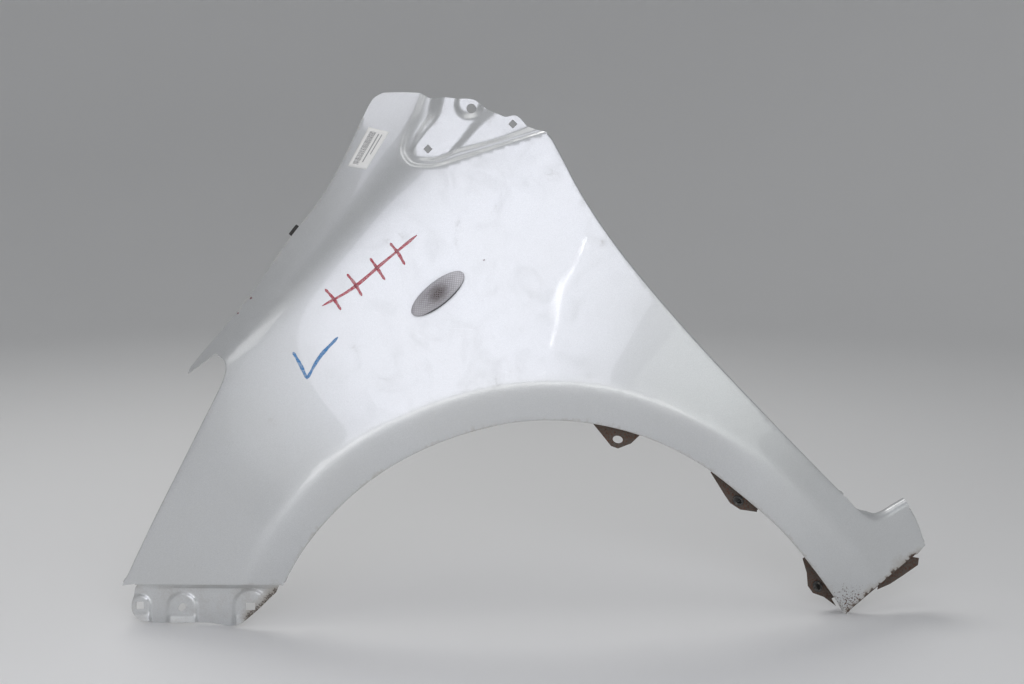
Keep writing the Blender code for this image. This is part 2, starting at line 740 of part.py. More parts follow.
def add_recess(sheet):
    """The ledge and the wall down to the bolting pad, then the pad with its holes."""
    rim, ledge, pad_rim = recess_rims()
    rows = [skin(rim)]
    for share in LEDGE_SHARES:
        points = rim + (ledge - rim) * share
        rows.append(sight(points, skin_depth(points) + LEDGE_DROP * smooth(share / LEDGE_SHARES[1])))
    for share in WALL_SHARES:
        points = ledge + (pad_rim - ledge) * share
        low = skin_depth(points) + LEDGE_DROP
        rows.append(sight(points, low + (pad_depth(points) - low) * smooth(share)))
    sheet.strip(rows)
    top = edge_line(PAD_TOP_PIXELS, RECESS_SPACING)
    outline = np.vstack((top[:-1], pad_rim[:0:-1]))
    holes = [rectangle(p, SQUARE_HOLE, SQUARE_HOLE, SQUARE / 2) for p in plane(PAD_SQUARE_PIXELS)]
    holes.append(ellipse(plane(BOLT_HOLE_PIXELS)[0], BOLT_HOLE, BOLT_HOLE))
    step = dense_curve(plane(PAD_STEP_PIXELS))
    step = along(step, np.arange(0, line_length(step), PAD_SPACING))
    half = STEP_WALL_LOW / 2
    guides = [(step + outward(step) * side * half, half) for side in (1, -1)]
    sheet.fill(outline, holes, PAD_SPACING, pad, guides)


def add_bumper_flange(sheet, edge):
    """Joggles in behind the lower edge, then hangs down with its bosses and holes."""
    inner = slice(1, -1)
    rows = fold(edge, skin_depth, ((EDGE_BEND, SQUARE, BUMPER_JOGGLE), (EDGE_BEND, 0.0, 0)))
    rows = rows[:, inner]
    top = edge[inner] + outward(edge)[inner] * (2 * EDGE_BEND + BUMPER_LEAD)
    sheet.strip(list(rows) + [bumper_face(top)])
    rim = dense_curve(plane(BUMPER_FLANGE_PIXELS))
    count = round(line_length(rim) / FLANGE_SPACING)
    rim = along(rim, np.linspace(0, line_length(rim), count))
    square, slot, wide = plane((BUMPER_SQUARE_PIXELS, BUMPER_SLOT_PIXELS, BUMPER_WIDE_PIXELS))
    holes = (
        rectangle(square, BUMPER_SQUARE, BUMPER_SQUARE),
        ellipse(slot, BUMPER_SLOT_LENGTH, BUMPER_SLOT_WIDTH, SQUARE / 2),
        rectangle(wide, BUMPER_WIDE, BUMPER_SQUARE),
    )
    guides = []
    for centre, radius in bumper_bosses():
        for reach in (radius, radius + BOSS_WALL):
            guides.append((boss_outline(centre, reach), BOSS_WALL / 2))
    lip = [centre[1] - LIP_DROP for centre, _ in bumper_bosses()]
    across = np.arange(rim[:, 0].min(), rim[:, 0].max(), FLANGE_SPACING)
    guides.append((np.column_stack((across, np.full(len(across), min(lip)))), BOSS_WALL / 2))
    sheet.fill(np.vstack((top, rim)), holes, FLANGE_SPACING, bumper_face, guides)


def add_arch_return(sheet, edge):
    """The return flange round the wheel opening, with the liner tabs on its inner end.

    Returns the surface of each tab.
    """
    moves = ((ARCH_BEND, SQUARE, ARCH_RETURN), (TAB_BEND, 0.0, TAB_LEAD))
    rows = fold(edge, skin_depth, moves)
    level = BEND_STEPS + 2
    sheet.strip(rows[:level, 1:-1])
    across = project(rows[0])[:, 0]
    faces = {}
    for name, (span, pixels, centre) in TABS_PIXELS.items():
        last, first = (plane((u, 0))[0, 0] for u in span)
        picks = np.flatnonzero((across < last) & (across > first))
        turn = SQUARE - polar(plane(centre))[0][0]
        hole = ellipse(plane(centre)[0], TAB_HOLE_WIDTH, TAB_HOLE_LENGTH, turn)
        faces[name] = sheet.hang(rows[level - 1 :, picks], pixels, [hole], FLANGE_SPACING)
    return faces


def add_gutter(sheet, edge):
    """The wall down from the bonnet edge and the bolting flange at its foot.

    Returns the wall's and the flange's rows.
    """
    moves = ((GUTTER_BEND, 2 * SQUARE, GUTTER_WALL), (GUTTER_BEND, SQUARE, 0))
    rows = fold(edge, skin_depth, moves)[:, 1:-1]
    sheet.strip(rows)
    foot = rows[-1]
    stations = np.concatenate(([0], np.cumsum(np.linalg.norm(np.diff(foot, axis=0), axis=1))))

    def face(points):
        base = np.column_stack([np.interp(points[:, 0], stations, foot[:, i]) for i in range(3)])
        return base + np.outer(points[:, 1], (0, 1, 0))

    near = np.column_stack((stations, np.zeros(len(stations))))
    far = near[::-1] + (0, GUTTER_FLANGE)
    centres = [(stations[-1] * share, GUTTER_FLANGE / 2) for share in GUTTER_HOLE_SHARES]
    holes = [ellipse(centre, GUTTER_BOLT, GUTTER_BOLT) for centre in centres]
    sheet.fill(np.vstack((near, far)), holes, GUTTER_SPACING, face)
    return rows


def add_sill_flange(sheet, edge):
    """Turned under the sill edge, with the tab that hangs behind the body's sill."""
    moves = ((EDGE_BEND, SQUARE, SILL_RETURN), (EDGE_BEND, 0.0, TAB_LEAD))
    rows = fold(edge, skin_depth, moves)
    level = BEND_STEPS + 2
    sheet.strip(rows[:level, 1:-1])
    first, last = (round(share * (len(edge) - 1)) for share in SILL_TAB_SHARES)
    picks = np.arange(max(first, 1), last + 1)
    sheet.hang(rows[level - 1 :, picks], SILL_TAB_PIXELS[::-1], [], FLANGE_SPACING)


def build_panel(collection):
    """The pressed sheet; returns the surfaces that carry other pieces."""
    sheet = Sheet()
    edges = outline_edges()
    add_skin(sheet, edges)
    add_recess(sheet)
    add_bumper_flange(sheet, edges["bumper"])
    tabs = add_arch_return(sheet, edges["arch"])
    gutter = add_gutter(sheet, edges["hood"])
    add_sill_flange(sheet, edges["sill"])
    widths = {"lamp": LAMP_EDGE_RETURN, "door": DOOR_RETURN, "rocker_end": SILL_RETURN}
    for name, width in widths.items():
        sheet.strip(fold(edges[name], skin_depth, ((EDGE_BEND, SQUARE, width),))[:, 1:-1])
    notch = edges["notch"]
    growth = smooth(np.linspace(0, line_length(notch), len(notch)) / NOTCH_GROWTH)
    moves = ((NOTCH_BEND, SQUARE, NOTCH_RETURN),)
    sheet.strip(fold(notch, skin_depth, moves, growth)[:, 1:])
    panel = sheet.solid("fender_panel", collection, SHEET)
    add_material(panel, (0.62, 0.64, 0.67), 0.32, 0.85)
    return tabs, gutter


def seat(lift, centre, turn):
    """A frame on a surface: X along the turn, Z off the outer face."""
    step = SHEET * np.array((math.cos(turn), math.sin(turn)))
    steps = np.array((centre, centre + step, centre + (-step[1], step[0])))
    origin, ahead, across = (Vector(p) for p in lift(steps))
    x_axis = (ahead - origin).normalized()
    z_axis = x_axis.cross(across - origin).normalized()
    y_axis = z_axis.cross(x_axis)
    frame = Matrix((x_axis, y_axis, z_axis)).transposed().to_4x4()
    return Matrix.Translation(origin) @ frame


def add_ovals(name, collection, frame, rings, looped=False, sides=OVAL_SIDES):
    """A solid through oval rings (half length, half width, height), closed by caps or on itself."""
    mesh = bmesh.new()
    angles = np.arange(sides) * 2 * math.pi / sides
    rows = []
    for half_length, half_width, height in rings:
        x, y = half_length * np.cos(angles), half_width * np.sin(angles)
        rows.append([mesh.verts.new((x[i], y[i], height)) for i in range(sides)])
    pairs = list(zip(rows[:-1], rows[1:]))
    if looped:
        pairs.append((rows[-1], rows[0]))
    else:
        mesh.faces.new(rows[0])
        mesh.faces.new(rows[-1])
    for low, high in pairs:
        for i in range(sides):
            j = (i + 1) % sides
            mesh.faces.new((low[i], low[j], high[j], high[i]))
    bmesh.ops.recalc_face_normals(mesh, faces=mesh.faces)
    data = bpy.data.meshes.new(name)
    mesh.to_mesh(data)
    mesh.free()
    data.shade_smooth()
    data.set_sharp_from_angle(angle=SHARP_ANGLE)
    part = add_object(name, data, collection)
    part.matrix_world = frame
    return part


def dome(half_length, half_width, base, height):
    """Rings of a dome, from its base up."""
    angles = [SQUARE * share for share in DOME_SHARES]
    return [
        (half_length * math.cos(a), half_width * math.cos(a), base + height * math.sin(a))
        for a in angles
    ]


def build_lamp(collection):
    """Lens on its gasket, the housing through the opening, and the bulb in its holder."""
    frame = seat(skin, plane(LAMP_PIXELS)[0], LAMP_TURN)
    half_length, half_width = LAMP_LENGTH / 2, LAMP_WIDTH / 2
    neck_length = LAMP_OPENING_LENGTH / 2 - HOLE_CLEARANCE
    neck_width = LAMP_OPENING_WIDTH / 2 - HOLE_CLEARANCE
    gasket_top = CLEARANCE + GASKET_THICKNESS
    rim = gasket_top + CLEARANCE

    outer = (half_length - GASKET_MARGIN, half_width - GASKET_MARGIN)
    inner = (LAMP_OPENING_LENGTH / 2, LAMP_OPENING_WIDTH / 2)
    rings = [(*outer, CLEARANCE), (*outer, gasket_top), (*inner, gasket_top), (*inner, CLEARANCE)]
    gasket = add_ovals("repeater_gasket", collection, frame, rings, looped=True)
    add_material(gasket, (0.02, 0.02, 0.02), 0.9)

    shoulder = rim + LAMP_SKIRT
    rise = LAMP_HEIGHT - LAMP_SKIRT
    bore_length, bore_width = half_length - LENS_WALL, half_width - LENS_WALL
    rings = dome(half_length, half_width, shoulder, rise)[::-1] + [(half_length, half_width, rim)]
    rings += [(bore_length, bore_width, rim)]
    rings += dome(bore_length, bore_width, shoulder, rise - LENS_WALL)
    lens = add_ovals("repeater_lens", collection, frame, rings)
    add_material(lens, (0.80, 0.80, 0.78), 0.12)

    foot = -HOUSING_DEPTH
    floor = foot + HOUSING_WALL
    flange = (bore_length - HOLE_CLEARANCE, bore_width - HOLE_CLEARANCE)
    cup = (neck_length - HOUSING_WALL, neck_width - HOUSING_WALL)
    bore = (HOLDER_RADIUS + CLEARANCE,) * 2
    rings = [
        (*flange, rim), (*flange, rim + HOUSING_RIM), (*cup, rim + HOUSING_RIM), (*cup, floor),
        (*bore, floor), (*bore, foot), (neck_length, neck_width, foot), (neck_length, neck_width, rim),
    ]
    housing = add_ovals("repeater_housing", collection, frame, rings, looped=True)
    add_material(housing, (0.35, 0.35, 0.36), 0.35)

    collar = foot - CLEARANCE
    collar_foot = collar - HOLDER_COLLAR_THICKNESS
    plug = (PLUG_HALF_WIDTH, PLUG_HALF_HEIGHT)
    top = foot + HOLDER_INSERT
    rings = [
        (HOLDER_RADIUS, HOLDER_RADIUS, top), (HOLDER_RADIUS, HOLDER_RADIUS, collar),
        (HOLDER_COLLAR, HOLDER_COLLAR, collar), (HOLDER_COLLAR, HOLDER_COLLAR, collar_foot),
        (*plug, collar_foot), (*plug, collar_foot - PLUG_LENGTH),
    ]
    holder = add_ovals("repeater_bulb_holder", collection, frame, rings, sides=SMALL_SIDES)
    add_material(holder, (0.05, 0.05, 0.05), 0.5)

    base = top + CLEARANCE
    wedge = (BULB_BASE_HALF_WIDTH, BULB_BASE_HALF_DEPTH)
    glass = base + BULB_LENGTH * BULB_GLASS_SHARE
    crown = base + BULB_LENGTH - BULB_RADIUS
    rings = [(*wedge, base), (*wedge, base + BULB_LENGTH * BULB_BASE_SHARE)]
    rings += [(BULB_RADIUS, BULB_RADIUS, glass)]
    rings += dome(BULB_RADIUS, BULB_RADIUS, crown, BULB_RADIUS)
    bulb = add_ovals("repeater_bulb", collection, frame, rings, sides=SMALL_SIDES)
    add_material(bulb, (0.75, 0.30, 0.05), 0.15)


def build_grommet(name, collection, face, pixels):
    """A push-in nut in an arch tab: head in front, neck in the hole, barb and closed end behind."""
    centre = plane(pixels)
    turn = 2 * SQUARE - polar(centre)[0][0]
    frame = seat(face, centre[0], turn)
    shrink = (EYE_DISTANCE + face(centre)[0, 1]) / EYE_DISTANCE
    hole = (TAB_HOLE_LENGTH / 2 * shrink - HOLE_CLEARANCE, TAB_HOLE_WIDTH / 2 * shrink - HOLE_CLEARANCE)
    head = (hole[0] + GROMMET_FLANGE, hole[1] + GROMMET_FLANGE)
    behind = -SHEET - CLEARANCE
    barb = (hole[0] + GROMMET_BARB, hole[1] + GROMMET_BARB)
    bore = (hole[0] - GROMMET_NECK, hole[1] - GROMMET_NECK)
    top = CLEARANCE + GROMMET_HEAD
    rings = [
        (*bore, GROMMET_FLOOR - GROMMET_TAIL), (*bore, top),
        (head[0] - GROMMET_BARB, head[1] - GROMMET_BARB, top),
        (*head, CLEARANCE + GROMMET_HEAD / 2), (*head, CLEARANCE), (*hole, CLEARANCE),
        (*hole, behind), (*barb, behind), (*hole, -GROMMET_TAIL),
    ]
    grommet = add_ovals(name, collection, frame, rings, sides=SMALL_SIDES)
    add_material(grommet, (0.03, 0.03, 0.03), 0.6)


def build_stop(collection, gutter):
    """The rubber stop that stands on the gutter flange and shows above the bonnet edge."""
    at = plane(STOP_PIXELS)[0, 0]
    nearest = int(np.argmin(np.abs(project(gutter[0])[:, 0] - at)))
    edge_rows = [Vector(p) for p in gutter[:, nearest]]
    x_axis = Vector(gutter[0, nearest + 1] - gutter[0, nearest - 1]).normalized()
    foot, wall_foot, wall_top = edge_rows[-1], edge_rows[-BEND_STEPS - 1], edge_rows[1]
    up = wall_top - wall_foot
    z_axis = (up - x_axis * up.dot(x_axis)).normalized()
    y_axis = z_axis.cross(x_axis)
    height = (edge_rows[BEND_STEPS // 2] - foot).dot(z_axis) + STOP_PROUD - CLEARANCE
    frame = Matrix((x_axis, y_axis, z_axis)).transposed().to_4x4()
    corner = foot + z_axis * CLEARANCE
    mesh = bmesh.new()
    bmesh.ops.create_cube(mesh, size=1)
    bmesh.ops.scale(mesh, vec=(STOP_LENGTH, STOP_DEPTH, height), verts=mesh.verts)
    bmesh.ops.translate(mesh, vec=(0, STOP_DEPTH / 2, height / 2), verts=mesh.verts)
    data = bpy.data.meshes.new("hood_stop_rubber")
    mesh.to_mesh(data)
    mesh.free()
    stop = add_object("hood_stop_rubber", data, collection)
    stop.matrix_world = Matrix.Translation(corner) @ frame
    rounding = stop.modifiers.new("rounding", "BEVEL")
    rounding.width = STOP_ROUND
    rounding.segments = 2
    add_material(stop, (0.02, 0.02, 0.02), 0.8)


def main():
    for old in list(bpy.data.objects):
        bpy.data.objects.remove(old, do_unlink=True)
    collection = bpy.data.collections.new("car_fender")
    bpy.context.scene.collection.children.link(collection)
    tabs, gutter = build_panel(collection)
    build_lamp(collection)
    build_grommet("arch_grommet_mid", collection, tabs["mid"], TABS_PIXELS["mid"][2])
    build_grommet("arch_grommet_low", collection, tabs["low"], TABS_PIXELS["low"][2])
    build_stop(collection, gutter)
    origin = Vector(pad(plane(PAD_MOUNT_PIXELS))[0])
    for piece in collection.objects:
        piece.location -= origin


main()
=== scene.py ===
"""Looks of the car fender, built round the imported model.

A finer panel, a lens with its net of prisms, marker strokes and a blank sticker are modelled here;
the other pieces keep their solids and get their finish. The finer panel has its solid's form, apart
from a tighter roll at the notch above the sill and longer roots at the sill's tab and the lowest arch
tab. Outline points are read off the photograph in its 1024 x 684 frame, as in the part's source:
plane() sets them out on the picture plane, and sight() carries them along their lines of sight to
the depth of the body's own sections.
"""

import math

import bmesh
import bpy
import numpy as np
from mathutils import Matrix, Vector
from mathutils.geometry import delaunay_2d_cdt
from mathutils.kdtree import KDTree


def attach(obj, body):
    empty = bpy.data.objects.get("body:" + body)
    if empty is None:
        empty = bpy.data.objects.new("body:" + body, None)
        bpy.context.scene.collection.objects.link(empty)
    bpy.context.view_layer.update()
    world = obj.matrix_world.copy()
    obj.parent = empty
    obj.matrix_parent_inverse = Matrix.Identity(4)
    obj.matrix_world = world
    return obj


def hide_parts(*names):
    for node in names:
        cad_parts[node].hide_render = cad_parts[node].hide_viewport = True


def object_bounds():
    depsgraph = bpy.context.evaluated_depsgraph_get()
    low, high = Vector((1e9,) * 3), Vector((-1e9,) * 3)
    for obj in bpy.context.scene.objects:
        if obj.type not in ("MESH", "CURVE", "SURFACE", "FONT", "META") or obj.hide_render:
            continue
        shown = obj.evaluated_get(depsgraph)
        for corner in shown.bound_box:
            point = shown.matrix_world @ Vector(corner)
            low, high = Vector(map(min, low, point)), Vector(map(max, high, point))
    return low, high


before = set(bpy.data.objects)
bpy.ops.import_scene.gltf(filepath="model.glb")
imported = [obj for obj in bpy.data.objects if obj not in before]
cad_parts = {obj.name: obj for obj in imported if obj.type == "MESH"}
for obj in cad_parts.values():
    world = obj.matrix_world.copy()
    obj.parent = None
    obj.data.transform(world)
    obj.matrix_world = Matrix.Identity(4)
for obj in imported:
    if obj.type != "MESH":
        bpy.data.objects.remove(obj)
CAD_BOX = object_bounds()

# Driving dimensions, in metres
PANEL_LENGTH = 0.941
SHEET = 0.0008
EYE_SHARE = 1.913
EYE_DISTANCE = EYE_SHARE * PANEL_LENGTH
VIEW_TILT = math.radians(8)
CAR_TILT = math.radians(39)
PANEL_YAW = math.radians(7.9)

# Photograph frame: its centre, its width, the wheel's centre and the fender's length in it
FRAME_CENTRE_PIXELS = (512, 342)
FRAME_WIDTH_PIXELS = 1024
WHEEL_CENTRE_PIXELS = (551, 735)
LENGTH_PIXELS = 804

# Body sections: how far the skin leans in towards the roof, the sill and the nose
BULGE_HEIGHT = 0.15
SHOULDER_HEIGHT = 0.60
SHOULDER_LEAN = 0.050
SILL_DROP = 0.26
SILL_TUCK = 0.016
NOSE_START = -0.10
NOSE_REACH = 0.38
NOSE_SWEEP = 0.060

# Wheel arch: the skin swells towards the crease, and the lip folds back below it
FLARE = 0.020
FLARE_REACH = 0.090
LIP_ANGLE = math.radians(16)
CREASE_BLEND = 0.007
CREASE_FADE_START = 0.20
CREASE_FADE_REACH = 0.16

# Shoulder strip beside the bonnet
SHOULDER_ANGLE_FRONT = math.radians(62)
SHOULDER_ANGLE_REAR = math.radians(44)
SHOULDER_BLEND_FRONT = 0.012
SHOULDER_BLEND_REAR = 0.026

# Bolting recess at the top
LEDGE_DROP = 0.004
PAD_DROP = 0.010
PAD_STEP = 0.003
SEAT_DROP = 0.004
SEAT_RADIUS = 0.0185
SEAT_WALL = 0.008
STEP_WALL_LOW = 0.005
STEP_WALL_HIGH = 0.016

# Flanges: outer bend radius and the widths beyond the bends
EDGE_BEND = 0.002
ARCH_RETURN = 0.020
ARCH_BEND = 0.0028
TAB_BEND = 0.0025
TAB_LEAD = 0.001
DOOR_RETURN = 0.011
NOTCH_BEND = 0.008
NOTCH_RETURN = 0.004
NOTCH_GROWTH = 0.020
NOTCH_START = 0.014
NOTCH_LEAST = 0.03
LAMP_EDGE_RETURN = 0.008
SILL_RETURN = 0.006
GUTTER_BEND = 0.003
GUTTER_WALL = 0.020
GUTTER_FLANGE = 0.021
BUMPER_JOGGLE = 0.006
BUMPER_LEAD = 0.001
BUMPER_RELIEF = (0.0055, 0.0150)
BOSS_RISE = 0.0028
BOSS_WALL = 0.0040
BOSS_RADII = (0.0100, 0.0150, 0.0175)
BOSS_TAIL = 0.0185
LIP_DROP = 0.0090
LIP_BLEND = 0.0015
LIP_SLOPE = math.tan(math.radians(30))
CORNER_RELIEF = 0.004

# Holes
SQUARE_HOLE = 0.0078
BUMPER_SQUARE = 0.0086
BUMPER_WIDE = 0.0108
BUMPER_SLOT_LENGTH = 0.0105
BUMPER_SLOT_WIDTH = 0.0078
BOLT_HOLE = 0.0115
GUTTER_BOLT = 0.0085
TAB_HOLE_LENGTH = 0.0120
TAB_HOLE_WIDTH = 0.0086
HOLE_CORNER = 0.0008

# Side repeater lamp
LAMP_LENGTH = 0.0775
LAMP_WIDTH = 0.0285
LAMP_HEIGHT = 0.0090
LAMP_SKIRT = 0.0030
LENS_WALL = 0.0020
LAMP_TURN = math.radians(38.9)
LAMP_OPENING_LENGTH = 0.0625
LAMP_OPENING_WIDTH = 0.0210
GASKET_THICKNESS = 0.0012
CLEARANCE = 0.0003

# Fineness
EDGE_SPACING = 0.0042
ARCH_SPACING = 0.0042
RECESS_SPACING = 0.0028
SKIN_SPACING = 0.0052
PAD_SPACING = 0.0024
FLANGE_SPACING = 0.0022
GUTTER_SPACING = 0.0050
WELD = 0.00002
BEND_STEPS = 5
RUN_STEPS = 4
SPLINE_STEPS = 24
SHARP_ANGLE = math.radians(40)
SQUARE = math.radians(90)
HOLE_SIDES = 28

# Outline of the panel as the photograph shows it, clockwise from the arch's front end
BUMPER_EDGE_PIXELS = ((283, 586), (122, 585.5))
LAMP_EDGE_PIXELS = (
    (122, 585.5), (153, 520), (183, 460), (203, 420), (215, 396), (223, 378), (225, 367),
    (222, 359), (214.8, 353.8),
)
SPUR_EDGE_PIXELS = ((214.8, 353.8), (205, 361), (188, 373.5))
SPUR_TIP_PIXELS = ((188, 373.5), (190, 367.5))
SPUR_TOP_PIXELS = ((190, 367.5), (206, 348), (222, 329.5))
HOOD_EDGE_PIXELS = (
    (222, 329.5), (254, 290), (286, 243.5), (318, 202), (335, 175), (350, 145.5), (364, 115),
)
HOOD_REAR_PIXELS = ((364, 115), (368, 107), (374, 98), (383, 92.8))
STRIP_TOP_PIXELS = ((383, 92.8), (402, 92.2), (420.5, 93))
DOOR_EDGE_PIXELS = (
    (546.8, 131.9), (553, 140), (559, 151), (582, 194), (606, 231), (638, 273), (670, 311),
    (702, 347), (750, 398), (798, 448), (846, 497),
)
NOTCH_PIXELS = (
    (846, 497), (856, 508.5), (866, 518), (877, 521.5), (888, 518.5), (898, 512.5), (909, 506),
)
ROCKER_END_PIXELS = ((909, 506), (914, 514), (920, 527), (925.5, 545))
ROCKER_CORNER_PIXELS = ((925.5, 545), (917.5, 554))
SILL_EDGE_PIXELS = ((917.5, 554), (888, 579), (846, 614.5))
ARCH_EDGE_PIXELS = (
    (846, 614.5), (822, 580), (785, 535), (740, 495), (695, 462), (650, 440), (605, 427),
    (560, 421.5), (515, 423.5), (470, 433.5), (425, 450), (380, 475), (335, 513), (305, 549),
    (283, 586),
)
CREASE_PIXELS = (
    (231, 606), (241.6, 585), (264.5, 542.8), (291.3, 506.4), (321.9, 472), (356.4, 443.3),
    (413, 413), (480, 391), (546, 383.4), (612, 390), (687, 417), (763, 462), (820, 512),
    (868, 570), (890, 606),
)
SHOULDER_LINE_PIXELS = ((222, 352), (402, 160))

# Recess rims: on the skin, at the ledge's inner side, and round the bolting pad
RECESS_RIM_PIXELS = (
    (420.5, 93), (411, 115), (401.5, 138), (400, 153), (408, 164.5), (427, 167.7), (464, 159),
    (505, 145), (546.8, 131.9),
)
LEDGE_RIM_PIXELS = (
    (429.4, 98.2), (425, 115), (412, 138), (409.5, 151), (415, 159), (428, 161.5), (461, 152.5),
    (500, 141.5), (538, 130.3),
)
PAD_RIM_PIXELS = (
    (445, 97.2), (441, 114.5), (424.5, 135), (416.5, 148), (420.5, 155), (431, 157), (459, 147.8),
    (496, 138.3), (527, 126.2),
)
PAD_TOP_PIXELS = (
    (445, 97.2), (457, 98.6), (474, 99.8), (486.5, 108.8), (498, 114), (504.6, 116.8),
    (515.6, 115.5), (527, 126.2),
)
PAD_STEP_PIXELS = ((452, 152), (465, 138), (473, 128), (481, 119), (494, 108))
PAD_PLANE_PIXELS = ((440, 140), (520, 125), (470, 150))
SEAT_PIXELS = (469, 104)
BOLT_HOLE_PIXELS = (471.3, 108.5)
PAD_SQUARE_PIXELS = ((427.9, 149), (512.8, 124))
PAD_MOUNT_PIXELS = (447, 131)

# Bumper flange and sill tab below the skin's edges
BUMPER_FLANGE_PIXELS = (
    (133.8, 596), (131.5, 604), (132.6, 612.5), (138.4, 619.4), (147.6, 621.7), (166, 622.6),
    (206, 622.4), (239.4, 624), (250.5, 616), (262, 606), (270, 598), (276, 592.5),
)
BUMPER_SQUARE_PIXELS = (140, 605.4)
BUMPER_SLOT_PIXELS = (182, 607.3)
BUMPER_WIDE_PIXELS = (250.3, 606.4)
SILL_TAB_PIXELS = ((919, 558), (918, 565), (903, 575.5), (890, 584), (877.5, 589.5))
SILL_TAB_SHARES = (0.04, 0.55)

# Rows beside the arch crease and the shoulder line, as shares of the bend's width
CREASE_ROW_SHARES = (0, 0.5, -0.5, 1, -1, 1.6, -1.6, 2.3, -2.3)
SHOULDER_ROW_SHARES = (0, 0.4, -0.4, 0.8, -0.8, 1.2, -1.2)

# Shares of the recess walls at which their rows lie
LEDGE_SHARES = (0.1, 0.22, 0.35, 0.5, 0.65, 0.82, 1.0)
LEDGE_KNEE_SHARE = 0.65
WALL_SHARES = (0.12, 0.25, 0.38, 0.5, 0.62, 0.75, 0.88, 1.0)

# Arch tabs: where each leaves the arch edge, and its outline and hole
TABS_PIXELS = {
    "high": ((646, 593), ((603, 436), (611, 446), (618, 448.5), (631, 443.5)), (617.8, 439.5)),
    "mid": ((766, 716), ((724, 494), (730, 503), (740, 509.5), (757, 512)), (738, 500.5)),
    "low": ((842, 810), ((807, 573), (808, 586), (813, 593), (824, 597), (836, 606)), (817.4, 586.2)),
}

LAMP_PIXELS = (438, 294)
GUTTER_HOLE_SHARES = (0.16, 0.50, 0.84)

# Wear that each region starts with: dirt and rust, from 0 to 1 and past it where they cake
REGION_WEAR = {
    "skin": (0.0, 0.0), "recess": (0.12, 0.0), "bumper": (0.28, 0.08), "arch": (0.45, 0.20),
    "tab": (1.25, 1.00), "gutter": (0.45, 0.10), "sill": (1.2, 1.00), "edge": (0.20, 0.05),
}
RUST_CORNER_PIXELS = (848, 600)
RUST_REACH = 0.024
NOTCH_DIRT_PIXELS = (880, 540)
NOTCH_DIRT = 0.35
SILL_DIRT = 0.85
SILL_DIRT_REACH = 0.007
FLANGE_DIRT_PIXELS = ((250, 618), (262, 608), (276, 594))
FLANGE_DIRT_REACH = 0.013
DUST_COLOUR = (0.330, 0.290, 0.240)
MUD_COLOUR = (0.060, 0.043, 0.033)
RUST_DARK = (0.070, 0.030, 0.018)
RUST_BRIGHT = (0.130, 0.060, 0.035)

# Lens net, painted shade and painted highlight on the lens, marker strokes, sticker and specks
LENS_SIDES = 320
LENS_RINGS = 56
NET_PITCH = 0.0036
NET_DEPTH = 0.0008
NET_FADE_SHARE = 0.35
# Size of the lens's painted shade: a dark middle that stands in for the bulb seen through it
SEEN_THROUGH_SHADE_SIZE = (0.034, 0.022)
LENS_SEAT = 2 * CLEARANCE + GASKET_THICKNESS
# The lens's painted shade at its foot: its height, and how much higher it reaches on the lower side
LENS_SHADE = 0.0016
LENS_LOW_SIDE_SHADE_RISE = 0.0045
LENS_SHARP_ANGLE = math.radians(50)
INK_LIFT = 0.00012
FILM_SHARE = 0.6
STROKE_STEPS = 40
STROKE_ROWS = 5
STROKE_TAPER_STEPS = 3
STROKE_END_SHARE = 0.06
SLOW_SWAY = (0.14, 9)
FAST_SWAY = (0.08, 23)
TALLY_WIDTH = 0.0034
TICK_WIDTH = 0.0038
DOT_WIDTH = 1.6
DOT_TURN = 0.6
DOT_SIDES = 16
STICKER_STEPS = 16
STICKER_PIXELS = ((368.8, 127), (389, 132), (366, 169.5), (347.7, 166))
TALLY_PIXELS = (
    ((325, 289), (333, 298), (341, 310)), ((347, 274), (355, 284), (362, 296)),
    ((370, 258), (377, 268), (385, 280)), ((390, 243), (398, 253), (405, 265)),
    ((322, 306), (350, 290), (384, 262), (417, 235)),
)
TICK_PIXELS = (((293, 352), (301, 366), (307, 379)), ((307, 379), (319, 358), (338, 337)))
DOT_PIXELS = {(251, 298): 0.0016, (238, 313): 0.0013, (484, 260): 0.0009}

# The sticker's block of bars and its plain rules: the shares across and down that they fill
PRINT_ROWS = 34
PRINT_BAR_SHARES = ((0.16, 0.46), (0.08, 0.92))
PRINT_RULE_SHARES = (((0.58, 0.64), (0.10, 0.84)), ((0.74, 0.79), (0.10, 0.62)))

# Blotches in the finishes: size, detail, roughness, the levels that they run between, and warp
BLOTCHES = {
    "rust_tone": (0.0016, 5, 0.55, 0.35, 0.65, 0),
    "haze": (0.11, 3, 0.55, 0.35, 0.70, 0),
    "smudge": (0.045, 6, 0.7, 0.50, 0.72, 1.2),
    "scratched": (0.07, 3, 0.55, 0.52, 0.62, 0),
    "primer": (0.09, 5, 0.6, 0.35, 0.65, 0.8),
    "splash": (0.020, 8, 0.75, 0.50, 0.70, 0.4),
    "amber": (0.004, 3, 0.55, 0.4, 0.6, 0),
    "amber_gloss": (0.002, 2, 0.55, 0.3, 0.7, 0),
    "ink": (0.0022, 4, 0.6, 0.30, 0.62, 0),
}

# Sizes and heights of the other features of the finishes
FLAKE_SIZE = 0.00035
SCRATCH_SIZE = 0.012
SCRATCH_STRETCH = (0.05, 1, 1.7)
SCRATCH_TURN = math.radians(35)
SCUFF_SIZE = 0.008
SCUFF_STRETCH = (0.12, 1, 1)
SCUFF_TURN = math.radians(-50)
# Grain of the lens's painted shade in its middle
SEEN_THROUGH_SHADE_GRAIN = 0.0025
PAPER_TONE_SIZE = 0.006
PAPER_WAVE_SIZE = 0.010
PAPER_WAVE_HEIGHT = 0.0002
STAGE_TONE_SIZE = 0.5
PEEL_SIZE = 0.004
PEEL_HEIGHT = 0.000006
WAVE_SIZE = 0.060
WAVE_HEIGHT = 0.0003
CRUST_HEIGHT = 0.0003
BROAD_DIRT_SIZE = 0.030
FINE_DIRT_SIZE = 0.0025
CAKED_DIRT_SIZE = 0.0022
RUST_SPOT_SIZE = 0.0018

